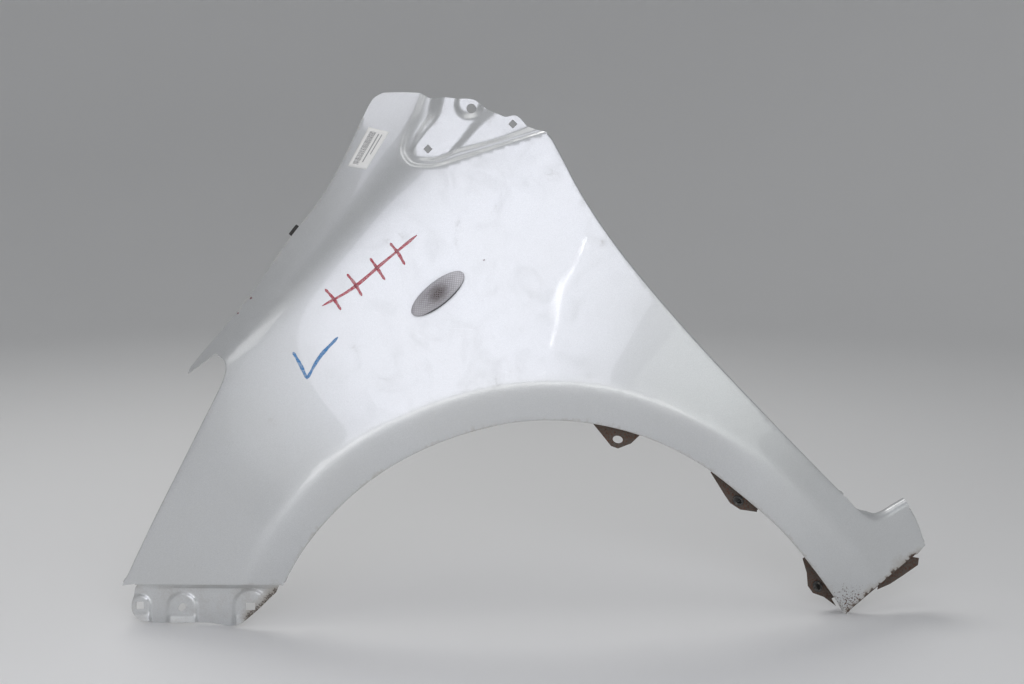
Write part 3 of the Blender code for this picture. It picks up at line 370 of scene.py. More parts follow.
# Roughness and metal of the paint, its coat and the backdrop
PAINT_ROUGHNESS = 0.34
PAINT_METALLIC = 0.55
COAT_ROUGHNESS = 0.035
INNER_ROUGHNESS = 0.52
INNER_METALLIC = 0.15
STAGE_ROUGHNESS = 0.9

# Colours and the like; where there are two colours, the tone runs from one to the other
FLAKE_COLOURS = ((0.555, 0.567, 0.572), (0.675, 0.688, 0.695))
HAZE_COLOUR = (0.585, 0.590, 0.580)
SCRATCH_COLOUR = (0.78, 0.78, 0.80)
PRIMER_COLOURS = ((0.300, 0.305, 0.315), (0.400, 0.400, 0.400))
SPLASH_COLOUR = (0.235, 0.205, 0.170)
LENS_COLOURS = ((0.62, 0.61, 0.64), (0.52, 0.51, 0.54))
# The lens's painted highlight at its far end, and its painted shade at its foot and in its middle
LENS_PAINTED_HIGHLIGHT_COLOUR = (0.92, 0.91, 0.95)
LENS_PAINTED_SHADE_COLOUR = (0.03, 0.03, 0.03)
SEEN_THROUGH_SHADE_COLOUR = (0.060, 0.026, 0.010)
NET_COLOUR = (0.31, 0.28, 0.29)
LENS_IOR = 1.49
GLASS_IOR = 1.5
AMBER_COLOURS = ((0.90, 0.30, 0.03), (0.80, 0.22, 0.02))
FOAM_COLOURS = ((0.020, 0.020, 0.020), (0.040, 0.040, 0.040))
HOUSING_COLOURS = ((0.50, 0.50, 0.51), (0.62, 0.62, 0.62))
HOLDER_COLOURS = ((0.030, 0.030, 0.030), (0.060, 0.060, 0.058))
NYLON_COLOURS = ((0.020, 0.020, 0.020), (0.050, 0.048, 0.045))
RUBBER_COLOURS = ((0.018, 0.018, 0.018), (0.036, 0.036, 0.036))
INK_SHARE = 0.45
THIN_INK = 0.6
RED_INK = (0.46, 0.018, 0.045)
BLUE_INK = (0.010, 0.19, 0.48)
SPECK_INK = (0.16, 0.02, 0.03)
PAPER_COLOURS = ((0.80, 0.79, 0.76), (0.87, 0.87, 0.86))
PRINT_COLOUR = (0.06, 0.06, 0.07)
STAGE_COLOURS = ((0.83, 0.83, 0.83), (0.85, 0.85, 0.85))
SKY_COLOUR = (0.80, 0.82, 0.84, 1)
SKY_STRENGTH = 0.36

# Finishes of the moulded pieces: name, colours, roughness, grain size, dust and metal
MOULDED_FINISHES = {
    "repeater_gasket": ("foam_gasket", FOAM_COLOURS, 0.85, 0.0004),
    "repeater_housing": ("lamp_housing", HOUSING_COLOURS, 0.30, 0.0006, 0.15, 0.6),
    "repeater_bulb_holder": ("bulb_holder", HOLDER_COLOURS, 0.50, 0.0005),
    "arch_grommet_mid": ("liner_grommet", NYLON_COLOURS, 0.55, 0.0005, 0.5),
    "arch_grommet_low": ("liner_grommet_low", NYLON_COLOURS, 0.55, 0.0005, 0.6),
    "hood_stop_rubber": ("stop_rubber", RUBBER_COLOURS, 0.75, 0.0005, 0.35),
}

# Bright streaks that the skin mirrors, and the tubes that make them
STREAK_PIXELS = (((585, 238), (579, 257)), ((576, 266), (551, 307)))
STREAK_PARTS = 5
STREAK_DISTANCE = 1.7
STREAK_WIDTH = 0.006
STREAK_POWER = 0.20

# Soft boxes that stand where a spot of the panel mirrors the camera: the spot's pixels, its
# surface, the box's width and height, its power and its colour
KEY_DISTANCE = 1.6
MIRRORED_LIGHTS = {
    "key": ((485, 235), "skin", (1.30, 0.95), 7.6, (0.905, 0.91, 1.0)),
    "fade": ((262, 385), "skin", (0.40, 0.85), 0.40, (0.93, 0.95, 1.0)),
    "side": ((715, 388), "skin", (0.5, 0.8), 1.3, (0.96, 1.0, 0.97)),
    "strip": ((398, 102), "skin", (0.45, 0.45), 0.85, (0.90, 0.90, 1.0)),
    "low": ((178, 617), "bumper", (0.6, 0.30), 0.8, (1.0, 1.0, 1.0)),
}

# The other soft boxes: the place, what it aims at, width and height, power and colour
AIM = (0.05, 0, -0.25)
PLAIN_LIGHTS = {
    "top": ((-0.2, -0.6, 2.2), AIM, (1.6, 1.2), 7, (1.0, 0.99, 0.98)),
    "back": ((-0.6, 1.0, 1.6), AIM, (1.6, 1.0), 14, (1.0, 0.99, 0.97)),
    "front": ((0.08, -1.5, -0.42), (0.08, 0, -0.38), (1.6, 0.25), 2.5, (1.0, 1.0, 0.99)),
}

# The camera: its sensor's width in millimetres and its nearest view
SENSOR_WIDTH = 36
CLIP_START = 0.01

# The round floor and the wall that it sweeps up into
STAGE_RADIUS = 4.2
STAGE_SWEEP = 1.4
STAGE_HEIGHT = 4.5
STAGE_SIDES = 96
STAGE_STEPS = 17

PIXEL = PANEL_LENGTH / LENGTH_PIXELS
DIVE = math.sin(VIEW_TILT)
LEVEL = math.cos(VIEW_TILT)
TO_EYE = Vector((0, -LEVEL, DIVE))


def plane(pixels):
    """Points of the picture plane, in metres from its centre, for pixels of the photograph."""
    points = np.atleast_2d(np.array(pixels, float))
    across = (points[:, 0] - FRAME_CENTRE_PIXELS[0]) * PIXEL
    up = (FRAME_CENTRE_PIXELS[1] - points[:, 1]) * PIXEL
    return np.column_stack((across, up))


def sight(points, depth):
    """Where lines of sight through the picture plane reach a given depth."""
    across = points[:, 0] / EYE_DISTANCE
    up = points[:, 1] / EYE_DISTANCE
    reach = (depth + EYE_DISTANCE * LEVEL) / (LEVEL + DIVE * up)
    height = EYE_DISTANCE * DIVE + reach * (LEVEL * up - DIVE)
    return np.column_stack((reach * across, np.broadcast_to(depth, reach.shape), height))


def project(points):
    """Where points in space appear on the picture plane."""
    reach = points - (0, -EYE_DISTANCE * LEVEL, EYE_DISTANCE * DIVE)
    ahead = reach[:, 1] * LEVEL - reach[:, 2] * DIVE
    up = reach[:, 1] * DIVE + reach[:, 2] * LEVEL
    return np.column_stack((reach[:, 0], up)) * (EYE_DISTANCE / ahead)[:, None]


def soft(value, blend):
    """The positive part of a value, rounded off over about the blend's width."""
    return (value + np.sqrt(value * value + blend * blend)) / 2


def smooth(share):
    """Eases a share in and out between 0 and 1."""
    share = np.clip(share, 0, 1)
    return share * share * (3 - 2 * share)


def dense_curve(corners):
    """A smooth line through the corners, as close points."""
    gaps = np.linalg.norm(np.diff(corners, axis=0), axis=1)[:, None]
    slopes = np.diff(corners, axis=0) / gaps
    middle = (slopes[:-1] * gaps[1:] + slopes[1:] * gaps[:-1]) / (gaps[:-1] + gaps[1:])
    tangents = np.vstack((slopes[:1], middle, slopes[-1:]))
    t = np.linspace(0, 1, SPLINE_STEPS, endpoint=False)[:, None]
    spans = []
    for i, gap in enumerate(gaps):
        start, end = corners[i], corners[i + 1]
        spans.append(
            (2 * t**3 - 3 * t**2 + 1) * start
            + (t**3 - 2 * t**2 + t) * gap * tangents[i]
            + (3 * t**2 - 2 * t**3) * end
            + (t**3 - t**2) * gap * tangents[i + 1]
        )
    return np.vstack(spans + [corners[-1:]])


def distances(line):
    """How far each point of a line lies from its start, along it."""
    gaps = np.linalg.norm(np.diff(line, axis=0), axis=1)
    return np.concatenate(([0], np.cumsum(gaps)))


def line_length(line):
    return distances(line)[-1]


def along(line, stations):
    """Points of a line at given distances from its start."""
    reached = distances(line)
    return np.column_stack([np.interp(stations, reached, axis) for axis in line.T])


def evenly(line, count):
    """A number of points at even distances, from a line's start to its end."""
    return along(line, np.linspace(0, line_length(line), count))


def edge_line(pixels, spacing=EDGE_SPACING, inset=0.0, relief=(CORNER_RELIEF, CORNER_RELIEF)):
    """An edge's points, whose first and last stretches are where its flange is relieved."""
    line = dense_curve(plane(pixels))
    if inset:
        stations = np.linspace(0, line_length(line), len(line))
        taper = np.minimum(stations, stations[-1] - stations) / (CORNER_RELIEF + inset)
        line = line - outward(line) * inset * smooth(taper)[:, None]
    total = line_length(line)
    if total < 2 * sum(relief):
        return line[[0, -1]]
    count = max(2, round((total - sum(relief)) / spacing) + 1)
    inner = np.linspace(relief[0], total - relief[1], count)
    return along(line, np.concatenate(([0], inner, [total])))


def outward(line):
    """The in-plane direction off an edge that runs clockwise round the panel."""
    step = np.gradient(line, axis=0)
    step /= np.linalg.norm(step, axis=1)[:, None]
    return np.column_stack((-step[:, 1], step[:, 0]))


WHEEL_CENTRE = plane(WHEEL_CENTRE_PIXELS)[0]
CREASE = dense_curve(plane(CREASE_PIXELS))
SHOULDER_LINE = plane(SHOULDER_LINE_PIXELS)
SHOULDER_LENGTH = np.linalg.norm(SHOULDER_LINE[1] - SHOULDER_LINE[0])
SHOULDER_WAY = (SHOULDER_LINE[1] - SHOULDER_LINE[0]) / SHOULDER_LENGTH
SHOULDER_OFF = np.array((-SHOULDER_WAY[1], SHOULDER_WAY[0]))


def polar(points):
    """Angle about the wheel's centre, growing towards the rear, and distance from it."""
    reach = points - WHEEL_CENTRE
    return np.arctan2(reach[:, 0], reach[:, 1]), np.linalg.norm(reach, axis=1)


def past_crease(points):
    """Distance outside the arch crease, negative on the lip."""
    angle, radius = polar(points)
    crease_angle, crease_radius = polar(CREASE)
    return radius - np.interp(angle, crease_angle, crease_radius)


def past_shoulder(points):
    """Distance beyond the shoulder line, towards the bonnet, and the share along the line."""
    reach = points - SHOULDER_LINE[0]
    return reach @ SHOULDER_OFF, (reach @ SHOULDER_WAY) / SHOULDER_LENGTH


def body_depth(points):
    """Depth of the side of the body before its folds, from the car's height and length axes.

    The panel stands turned a little about the vertical, so that its two feet are level.
    """
    reach = points - WHEEL_CENTRE
    height = -reach[:, 0] * math.sin(CAR_TILT) + reach[:, 1] * math.cos(CAR_TILT)
    ahead = -reach[:, 0] * math.cos(CAR_TILT) - reach[:, 1] * math.sin(CAR_TILT)
    lean = np.maximum(height - BULGE_HEIGHT, 0) / (SHOULDER_HEIGHT - BULGE_HEIGHT)
    tuck = np.maximum(BULGE_HEIGHT - height, 0) / SILL_DROP
    sweep = np.maximum(ahead - NOSE_START, 0) / NOSE_REACH
    turned = math.tan(PANEL_YAW) * points[:, 0]
    return SHOULDER_LEAN * lean**2 + SILL_TUCK * tuck**2 + NOSE_SWEEP * sweep**2 + turned


def arch_depth(points):
    """Depth that the flare and the lip add on each side of the crease."""
    off = past_crease(points)
    fade = 1 - smooth((points[:, 0] - CREASE_FADE_START) / CREASE_FADE_REACH)
    outside = soft(off, CREASE_BLEND)
    inside = soft(-off, CREASE_BLEND)
    flare = FLARE * (1 - np.exp(-outside / FLARE_REACH))
    return flare + math.tan(LIP_ANGLE) * inside * fade


def shoulder_depth(points):
    off, share = past_shoulder(points)
    share = np.clip(share, 0, 1)
    angle = SHOULDER_ANGLE_FRONT + (SHOULDER_ANGLE_REAR - SHOULDER_ANGLE_FRONT) * share
    blend = SHOULDER_BLEND_FRONT + (SHOULDER_BLEND_REAR - SHOULDER_BLEND_FRONT) * share
    return np.tan(angle) * soft(off, blend)


def skin_depth(points):
    return body_depth(points) + arch_depth(points) + shoulder_depth(points)


def skin(points):
    """Points of the outer skin in space."""
    return sight(points, skin_depth(points))


def over_skin(points):
    """Points just off the outer skin, where ink and paper lie."""
    return sight(points, skin_depth(points) - INK_LIFT)


def plane_depth(points, corners, corner_depths):
    """Depth at which lines of sight meet the flat face through three points."""
    a, b, c = (Vector(p) for p in sight(corners, corner_depths))
    normal = (b - a).cross(c - a)
    near = sight(points, 0.0)
    far = sight(points, EYE_DISTANCE)
    rise_near = (near - np.array(a)) @ np.array(normal)
    rise_far = (far - np.array(a)) @ np.array(normal)
    return EYE_DISTANCE * rise_near / (rise_near - rise_far)


def side_of(points, line):
    """Signed distance from an open line, positive on the right of its direction."""
    best = np.full(len(points), np.inf)
    signed = np.zeros(len(points))
    for start, end in zip(line[:-1], line[1:]):
        run = end - start
        share = np.clip((points - start) @ run / (run @ run), 0, 1)
        gap = points - start - share[:, None] * run
        size = np.linalg.norm(gap, axis=1)
        side = gap[:, 0] * run[1] - gap[:, 1] * run[0]
        nearer = size < best
        best = np.where(nearer, size, best)
        signed = np.where(nearer, np.sign(side) * size, signed)
    return signed


def pad_depth(points):
    """The two flat levels of the bolting pad, the step between them and the sunk bolt seat."""
    corners = plane(PAD_PLANE_PIXELS)
    level = body_depth(corners) + arch_depth(corners) + PAD_DROP
    depth = plane_depth(points, corners, level)
    line = plane(PAD_STEP_PIXELS)
    rise = np.clip((points[:, 1] - line[0][1]) / (line[-1][1] - line[0][1]), 0, 1)
    wall = STEP_WALL_LOW + (STEP_WALL_HIGH - STEP_WALL_LOW) * rise
    lower = smooth((wall / 2 - side_of(points, line)) / wall)
    from_seat = np.linalg.norm(points - plane(SEAT_PIXELS)[0], axis=1)
    seat = smooth((SEAT_RADIUS - from_seat) / SEAT_WALL)
    return depth + PAD_STEP * lower + SEAT_DROP * seat * lower


def pad(points):
    return sight(points, pad_depth(points))


def bumper_edge_depth(points):
    """Flat face of the bumper flange, a joggle behind the skin's lower edge."""
    corners = plane(BUMPER_EDGE_PIXELS + (BUMPER_WIDE_PIXELS,))
    corner_depths = skin_depth(corners) + 2 * EDGE_BEND + BUMPER_JOGGLE
    corner_depths[2] = np.interp(corners[2][0], corners[1::-1, 0], corner_depths[1::-1])
    return plane_depth(points, corners, corner_depths)


def bumper_bosses():
    """Centre and radius of the boss round each hole of the bumper flange."""
    centres = plane((BUMPER_SQUARE_PIXELS, BUMPER_SLOT_PIXELS, BUMPER_WIDE_PIXELS))
    return zip(centres, BOSS_RADII)


def bumper_depth(points):
    """The bumper flange with a raised boss round each hole, whose foot is turned out."""
    lift = np.zeros(len(points))
    for centre, radius in bumper_bosses():
        reach = points - centre
        reach[:, 1] += np.clip(-reach[:, 1], 0, BOSS_TAIL)
        rise = smooth((radius + BOSS_WALL - np.linalg.norm(reach, axis=1)) / BOSS_WALL)
        turned = LIP_SLOPE * soft(centre[1] - LIP_DROP - points[:, 1], LIP_BLEND)
        lift = np.maximum(lift, rise * (BOSS_RISE + turned))
    return bumper_edge_depth(points) - lift


def bumper_face(points):
    return sight(points, bumper_depth(points))


def inside(points, loop):
    """Which points lie inside a closed loop."""
    count = np.zeros(len(points), int)
    for (x1, y1), (x2, y2) in zip(loop, np.roll(loop, -1, axis=0)):
        crosses = (y1 > points[:, 1]) != (y2 > points[:, 1])
        if y1 != y2:
            at = x1 + (points[:, 1] - y1) * (x2 - x1) / (y2 - y1)
            count += crosses & (points[:, 0] < at)
    return count % 2 == 1


def lattice(loop, spacing):
    """Points in even triangles over a loop's box."""
    low, high = loop.min(axis=0), loop.max(axis=0)
    row_gap = spacing * math.sqrt(3) / 2
    rows = []
    for i, level in enumerate(np.arange(low[1] + row_gap / 2, high[1], row_gap)):
        across = np.arange(low[0] + spacing * (i % 2) / 2, high[0], spacing)
        rows.append(np.column_stack((across, np.full(len(across), level))))
    return np.vstack(rows)


def apart(points, others, gap):
    """The points that keep a gap from the others."""
    tree = KDTree(len(others))
    for i, other in enumerate(others):
        tree.insert((*other, 0), i)
    tree.balance()
    return np.array([p for p in points if tree.find((*p, 0))[2] > gap]).reshape(-1, 2)


def slimness(corners):
    """The least height of each triangle."""
    sides = corners - np.roll(corners, 1, axis=1)
    area = np.abs(sides[:, 0, 0] * sides[:, 1, 1] - sides[:, 0, 1] * sides[:, 1, 0])
    return area / np.linalg.norm(sides, axis=2).max(axis=1)


def placed(x, y, turn, centre):
    """Points given about a shape's middle, turned and set about its centre."""
    across = x * math.cos(turn) - y * math.sin(turn)
    up = x * math.sin(turn) + y * math.cos(turn)
    return np.column_stack((across, up)) + centre


def ellipse(centre, length, width, turn=0.0, sides=HOLE_SIDES):
    angles = np.arange(sides) * 2 * math.pi / sides
    return placed(np.cos(angles) * length / 2, np.sin(angles) * width / 2, turn, centre)


def rectangle(centre, width, height, turn=0.0):
    """A rectangle with slightly rounded corners."""
    corners = np.array(((1, 1), (-1, 1), (-1, -1), (1, -1)))
    x, y = [], []
    for i, (side, top) in enumerate(corners):
        for angle in SQUARE * (i + np.array((0, 0.5, 1))):
            x.append(side * (width / 2 - HOLE_CORNER) + HOLE_CORNER * math.cos(angle))
            y.append(top * (height / 2 - HOLE_CORNER) + HOLE_CORNER * math.sin(angle))
    return placed(np.array(x), np.array(y), turn, centre)


def bend_path(heading, moves):
    """Points of a folded edge in its own section: off the edge, and in towards the car.

    Each move bends with an outer radius to a new heading, then runs straight.
    """
    at = np.zeros(2)
    path = [at]
    for radius, target, run in moves:
        side = 1 if target > heading else -1
        start = at
        for angle in heading + (target - heading) * np.arange(1, BEND_STEPS + 1) / BEND_STEPS:
            turn = np.array((math.sin(angle) - math.sin(heading), math.cos(heading) - math.cos(angle)))
            at = start + side * radius * turn
            path.append(at)
        heading = target
        for _ in range(RUN_STEPS if run else 0):
            at = at + run / RUN_STEPS * np.array((math.cos(heading), math.sin(heading)))
            path.append(at)
    return path


def add_quads(mesh, rows):
    """Quads between rows of matching points."""
    return [
        mesh.faces.new((low[i], low[i + 1], high[i + 1], high[i]))
        for low, high in zip(rows[:-1], rows[1:])
        for i in range(len(low) - 1)
    ]


class Sheet:
    """An open surface made of strips and filled outlines that share their edges."""

    def __init__(self):
        self.mesh = bmesh.new()
        self.grime = self.mesh.verts.layers.float.new("grime")
        self.rust = self.mesh.verts.layers.float.new("rust")
        self.region = "skin"

    def add_points(self, points):
        """New points, marked with the grime and rust of the region being made."""
        verts = [self.mesh.verts.new(p) for p in points]
        for vert in verts:
            vert[self.grime], vert[self.rust] = REGION_WEAR[self.region]
        return verts

    def strip(self, rows):
        """Quads between rows of new points."""
        add_quads(self.mesh, [self.add_points(row) for row in rows])

    def lip(self, edge, bend, width, tab_bend):
        """A lip folded in off an edge; returns the rows of the bend by which tabs hang off it."""
        rows = fold(edge, ((bend, SQUARE, width), (tab_bend, 0.0, TAB_LEAD)))
        level = BEND_STEPS + RUN_STEPS
        self.strip(rows[: level + 1, 1:-1])
        return rows[level:]

    def fill(self, outline, holes, spacing, lift, guides=()):
        """Triangles over an outline with holes, lifted into space; guides are added points."""
        loops = [outline] + list(holes)
        fixed = np.vstack(loops)
        extra = lattice(outline, spacing)
        for guide, gap in guides:
            guide = apart(guide, fixed, gap)
            guide = guide[inside(guide, outline)]
            extra = apart(extra, guide, spacing / 2) if len(guide) else extra
            fixed = np.vstack((fixed, guide))
        extra = apart(extra, fixed, spacing / 2)
        points = np.vstack((fixed, extra[inside(extra, outline)]))
        edges = []
        start = 0
        for loop in loops:
            edges += [(start + i, start + (i + 1) % len(loop)) for i in range(len(loop))]
            start += len(loop)
        flat, _, faces, *_ = delaunay_2d_cdt(points.tolist(), edges, [], 0, WELD / 100)
        flat = np.array([(p.x, p.y) for p in flat])
        corners = flat[np.array(faces)]
        keep = inside(corners.mean(axis=1), outline) & (slimness(corners) > WELD)
        for hole in holes:
            keep &= ~inside(corners.mean(axis=1), hole)
        verts = self.add_points(lift(flat))
        for face, kept in zip(faces, keep):
            if kept:
                self.mesh.faces.new([verts[i] for i in face])

    def hang(self, rows, pixels, holes=()):
        """Fills a flat tab that hangs off the last of some rows."""
        top = project(rows[-1])
        ends, end_depths = top[[0, -1], 0], rows[-1][[0, -1], 1]
        slope = (end_depths[1] - end_depths[0]) / (ends[1] - ends[0])

        def face(points):
            return sight(points, end_depths[0] + slope * (points[:, 0] - ends[0]))

        self.region = "tab"
        self.strip([*rows[:-1], face(top)])
        self.fill(np.vstack((top, plane(pixels))), holes, FLANGE_SPACING, face)

    def solid(self, name):
        """Welds the patches, turns them outward and gives them their thickness."""
        mesh = self.mesh
        bmesh.ops.remove_doubles(mesh, verts=mesh.verts, dist=WELD)
        loose = [v for v in mesh.verts if not v.link_faces]
        bmesh.ops.delete(mesh, geom=loose, context="VERTS")
        bmesh.ops.recalc_face_normals(mesh, faces=mesh.faces)
        if sum(f.normal.y * f.calc_area() for f in mesh.faces) > 0:
            bmesh.ops.reverse_faces(mesh, faces=mesh.faces)
        for edge in mesh.edges:
            edge.smooth = len(edge.link_faces) == 2 and edge.calc_face_angle() < SHARP_ANGLE
        for face in mesh.faces:
            face.smooth = True
        part = mesh_object(name, mesh, silver_paint("silver_paint"), inner_paint("inner_paint"))
        shell = part.modifiers.new("thickness", "SOLIDIFY")
        shell.thickness = SHEET
        shell.offset = -1
        shell.material_offset = 1
        return part


def fold(edge, moves, growth=None):
    """Rows of points of a flange folded off an edge of the skin, the edge itself first."""
    off = outward(edge)
    probe = edge - off * SHEET
    slopes = (skin_depth(edge) - skin_depth(probe)) / SHEET
    growth = np.ones(len(edge)) if growth is None else growth
    columns = []
    for point, way, slope, size in zip(skin(edge), off, slopes, growth):
        path = bend_path(math.atan(slope), moves)
        columns.append([point + size * np.array((a * way[0], b, a * way[1])) for a, b in path])
    return np.swapaxes(np.array(columns), 0, 1)


def add_object(name, data):
    part = bpy.data.objects.new(name, data)
    bpy.context.scene.collection.objects.link(part)
    return part


def mesh_object(name, mesh, *materials):
    """Makes a finished bmesh into an object."""
    data = bpy.data.meshes.new(name)
    mesh.to_mesh(data)
    mesh.free()
    for material in materials:
        data.materials.append(material)
    return add_object(name, data)


def outline_edges():
    """The panel's edges in order; bent ones start inside the silhouette by their bend."""
    return {
        "bumper": edge_line(BUMPER_EDGE_PIXELS, inset=EDGE_BEND, relief=BUMPER_RELIEF),
        "lamp": edge_line(LAMP_EDGE_PIXELS, inset=EDGE_BEND),
        "spur_edge": edge_line(SPUR_EDGE_PIXELS, RECESS_SPACING),
        "spur_tip": edge_line(SPUR_TIP_PIXELS, relief=(SHEET, SHEET)),
        "spur_top": edge_line(SPUR_TOP_PIXELS),
        "hood": edge_line(HOOD_EDGE_PIXELS),
        "hood_rear": edge_line(HOOD_REAR_PIXELS, RECESS_SPACING),
        "strip_top": edge_line(STRIP_TOP_PIXELS, RECESS_SPACING),
        "recess": recess_rims()[0],
        "door": edge_line(DOOR_EDGE_PIXELS, inset=EDGE_BEND),
        "notch": edge_line(NOTCH_PIXELS, RECESS_SPACING),
        "rocker_end": edge_line(ROCKER_END_PIXELS, inset=EDGE_BEND),
        "rocker_corner": edge_line(ROCKER_CORNER_PIXELS),
        "sill": edge_line(SILL_EDGE_PIXELS, RECESS_SPACING, inset=EDGE_BEND),
        "arch": edge_line(ARCH_EDGE_PIXELS, ARCH_SPACING, inset=ARCH_BEND),
    }


def recess_rims():
    """The recess's three rims, with matching points."""
    rims = [dense_curve(plane(r)) for r in (RECESS_RIM_PIXELS, LEDGE_RIM_PIXELS, PAD_RIM_PIXELS)]
    stations = distances(rims[0])
    count = round(stations[-1] / RECESS_SPACING)
    picks = [int(np.argmin(np.abs(stations - s))) for s in np.linspace(0, stations[-1], count)]
    return [rim[picks] for rim in rims]


def crease_guides():
    """Rows of points along the arch crease and the shoulder line, close where they bend."""
    guides = []
    middle = along(CREASE, np.arange(0, line_length(CREASE), EDGE_SPACING))
    off = middle - WHEEL_CENTRE
    off /= np.linalg.norm(off, axis=1)[:, None]
    for share in CREASE_ROW_SHARES:
        guides.append((middle + off * share * CREASE_BLEND, CREASE_BLEND / 2))
    line = along(SHOULDER_LINE, np.arange(0, SHOULDER_LENGTH, EDGE_SPACING))
    for share in SHOULDER_ROW_SHARES:
        row = line + SHOULDER_OFF * share * SHOULDER_BLEND_FRONT
        guides.append((row, SHOULDER_BLEND_FRONT / 2))
    return guides


def lamp_opening():
    """The lamp's opening on the picture plane, drawn smaller by its distance behind it."""
    centre = plane(LAMP_PIXELS)
    shrink = EYE_DISTANCE / (EYE_DISTANCE + skin_depth(centre)[0])
    size = (LAMP_OPENING_LENGTH * shrink, LAMP_OPENING_WIDTH * shrink)
    return ellipse(centre[0], *size, LAMP_TURN, sides=2 * HOLE_SIDES)


def add_skin(sheet, edges):
    loop = np.vstack([edge[:-1] for edge in edges.values()])
    sheet.fill(loop, [lamp_opening()], SKIN_SPACING, skin, crease_guides())


def add_recess(sheet):
    """The ledge and the wall down to the bolting pad, then the pad with its holes."""
    sheet.region = "recess"
    rim, ledge, pad_rim = recess_rims()
    rows = [skin(rim)]
    for share in LEDGE_SHARES:
        points = rim + (ledge - rim) * share
        rows.append(sight(points, skin_depth(points) + LEDGE_DROP * smooth(share / LEDGE_KNEE_SHARE)))
    for share in WALL_SHARES:
        points = ledge + (pad_rim - ledge) * share
        low = skin_depth(points) + LEDGE_DROP
        rows.append(sight(points, low + (pad_depth(points) - low) * smooth(share)))
    sheet.strip(rows)
    top = edge_line(PAD_TOP_PIXELS, RECESS_SPACING)
    outline = np.vstack((top[:-1], pad_rim[:0:-1]))
    holes = [rectangle(p, SQUARE_HOLE, SQUARE_HOLE, SQUARE / 2) for p in plane(PAD_SQUARE_PIXELS)]
    holes.append(ellipse(plane(BOLT_HOLE_PIXELS)[0], BOLT_HOLE, BOLT_HOLE))
    step = dense_curve(plane(PAD_STEP_PIXELS))
    step = along(step, np.arange(0, line_length(step), PAD_SPACING))
    half = STEP_WALL_LOW / 2
    guides = [(step + outward(step) * side * half, half) for side in (1, -1)]
    sheet.fill(outline, holes, PAD_SPACING, pad, guides)


def add_bumper_flange(sheet, edge):
    """Joggles in behind the lower edge, then hangs down with its bosses and holes."""
    sheet.region = "bumper"
    inner = slice(1, -1)
    rows = fold(edge, ((EDGE_BEND, SQUARE, BUMPER_JOGGLE), (EDGE_BEND, 0.0, 0)))
    rows = rows[:, inner]
    top = edge[inner] + outward(edge)[inner] * (2 * EDGE_BEND + BUMPER_LEAD)
    sheet.strip(list(rows) + [bumper_face(top)])
    rim = dense_curve(plane(BUMPER_FLANGE_PIXELS))
    rim = evenly(rim, round(line_length(rim) / FLANGE_SPACING))
    square, slot, wide = plane((BUMPER_SQUARE_PIXELS, BUMPER_SLOT_PIXELS, BUMPER_WIDE_PIXELS))
    holes = (
        rectangle(square, BUMPER_SQUARE, BUMPER_SQUARE),
        ellipse(slot, BUMPER_SLOT_LENGTH, BUMPER_SLOT_WIDTH, SQUARE / 2),
        rectangle(wide, BUMPER_WIDE, BUMPER_SQUARE),
    )
    sheet.fill(np.vstack((top, rim)), holes, FLANGE_SPACING, bumper_face)


def add_arch_return(sheet, edge):
    """The return flange round the wheel opening, with the liner tabs on its inner end."""
    sheet.region = "arch"
    rows = sheet.lip(edge, ARCH_BEND, ARCH_RETURN, TAB_BEND)
    for span, pixels, centre in TABS_PIXELS.values():
        last, first = (plane((u, 0))[0, 0] for u in span)
        picks = np.flatnonzero((edge[:, 0] < last) & (edge[:, 0] > first))
        turn = SQUARE - polar(plane(centre))[0][0]
        hole = ellipse(plane(centre)[0], TAB_HOLE_WIDTH, TAB_HOLE_LENGTH, turn)
        sheet.hang(rows[:, picks], pixels, [hole])


def add_gutter(sheet, edge):
    """The wall down from the bonnet edge and the bolting flange at its foot."""
    sheet.region = "gutter"
    moves = ((GUTTER_BEND, 2 * SQUARE, GUTTER_WALL), (GUTTER_BEND, SQUARE, 0))
    rows = fold(edge, moves)[:, 1:-1]
    sheet.strip(rows)
    foot = rows[-1]
    stations = distances(foot)

    def face(points):
        return along(foot, points[:, 0]) + np.outer(points[:, 1], (0, 1, 0))

    near = np.column_stack((stations, np.zeros(len(stations))))
    far = near[::-1] + (0, GUTTER_FLANGE)
    centres = [(stations[-1] * share, GUTTER_FLANGE / 2) for share in GUTTER_HOLE_SHARES]
    holes = [ellipse(centre, GUTTER_BOLT, GUTTER_BOLT) for centre in centres]
    sheet.fill(np.vstack((near, far)), holes, GUTTER_SPACING, face)


def add_sill_flange(sheet, edge):
    """Turned under the sill edge, with the tab that hangs behind the body's sill."""
    sheet.region = "sill"
    rows = sheet.lip(edge, EDGE_BEND, SILL_RETURN, EDGE_BEND)
    first, last = (round(share * (len(edge) - 1)) for share in SILL_TAB_SHARES)
    picks = np.arange(max(first, 1), last + 1)
    sheet.hang(rows[:, picks], SILL_TAB_PIXELS[::-1])


def build_panel():
    """The pressed sheet in fine steps, with its wear marked on its points."""
    sheet = Sheet()
    edges = outline_edges()
    add_skin(sheet, edges)
    add_recess(sheet)
    add_bumper_flange(sheet, edges["bumper"])
    add_arch_return(sheet, edges["arch"])
    add_gutter(sheet, edges["hood"])
    add_sill_flange(sheet, edges["sill"])
    sheet.region = "edge"
    widths = {"lamp": LAMP_EDGE_RETURN, "door": DOOR_RETURN, "rocker_end": SILL_RETURN}
    for name, width in widths.items():
        sheet.strip(fold(edges[name], ((EDGE_BEND, SQUARE, width),))[:, 1:-1])
    notch = edges["notch"]
    growth = smooth((np.linspace(0, line_length(notch), len(notch)) - NOTCH_START) / NOTCH_GROWTH)
    growth = np.maximum(growth, NOTCH_LEAST)
    sheet.region = "skin"
    moves = ((NOTCH_BEND, SQUARE, NOTCH_RETURN),)
    sheet.strip(fold(notch, moves, growth)[:, 1:])
    mark_skin_wear(sheet)
    return sheet.solid("fender_sheet")


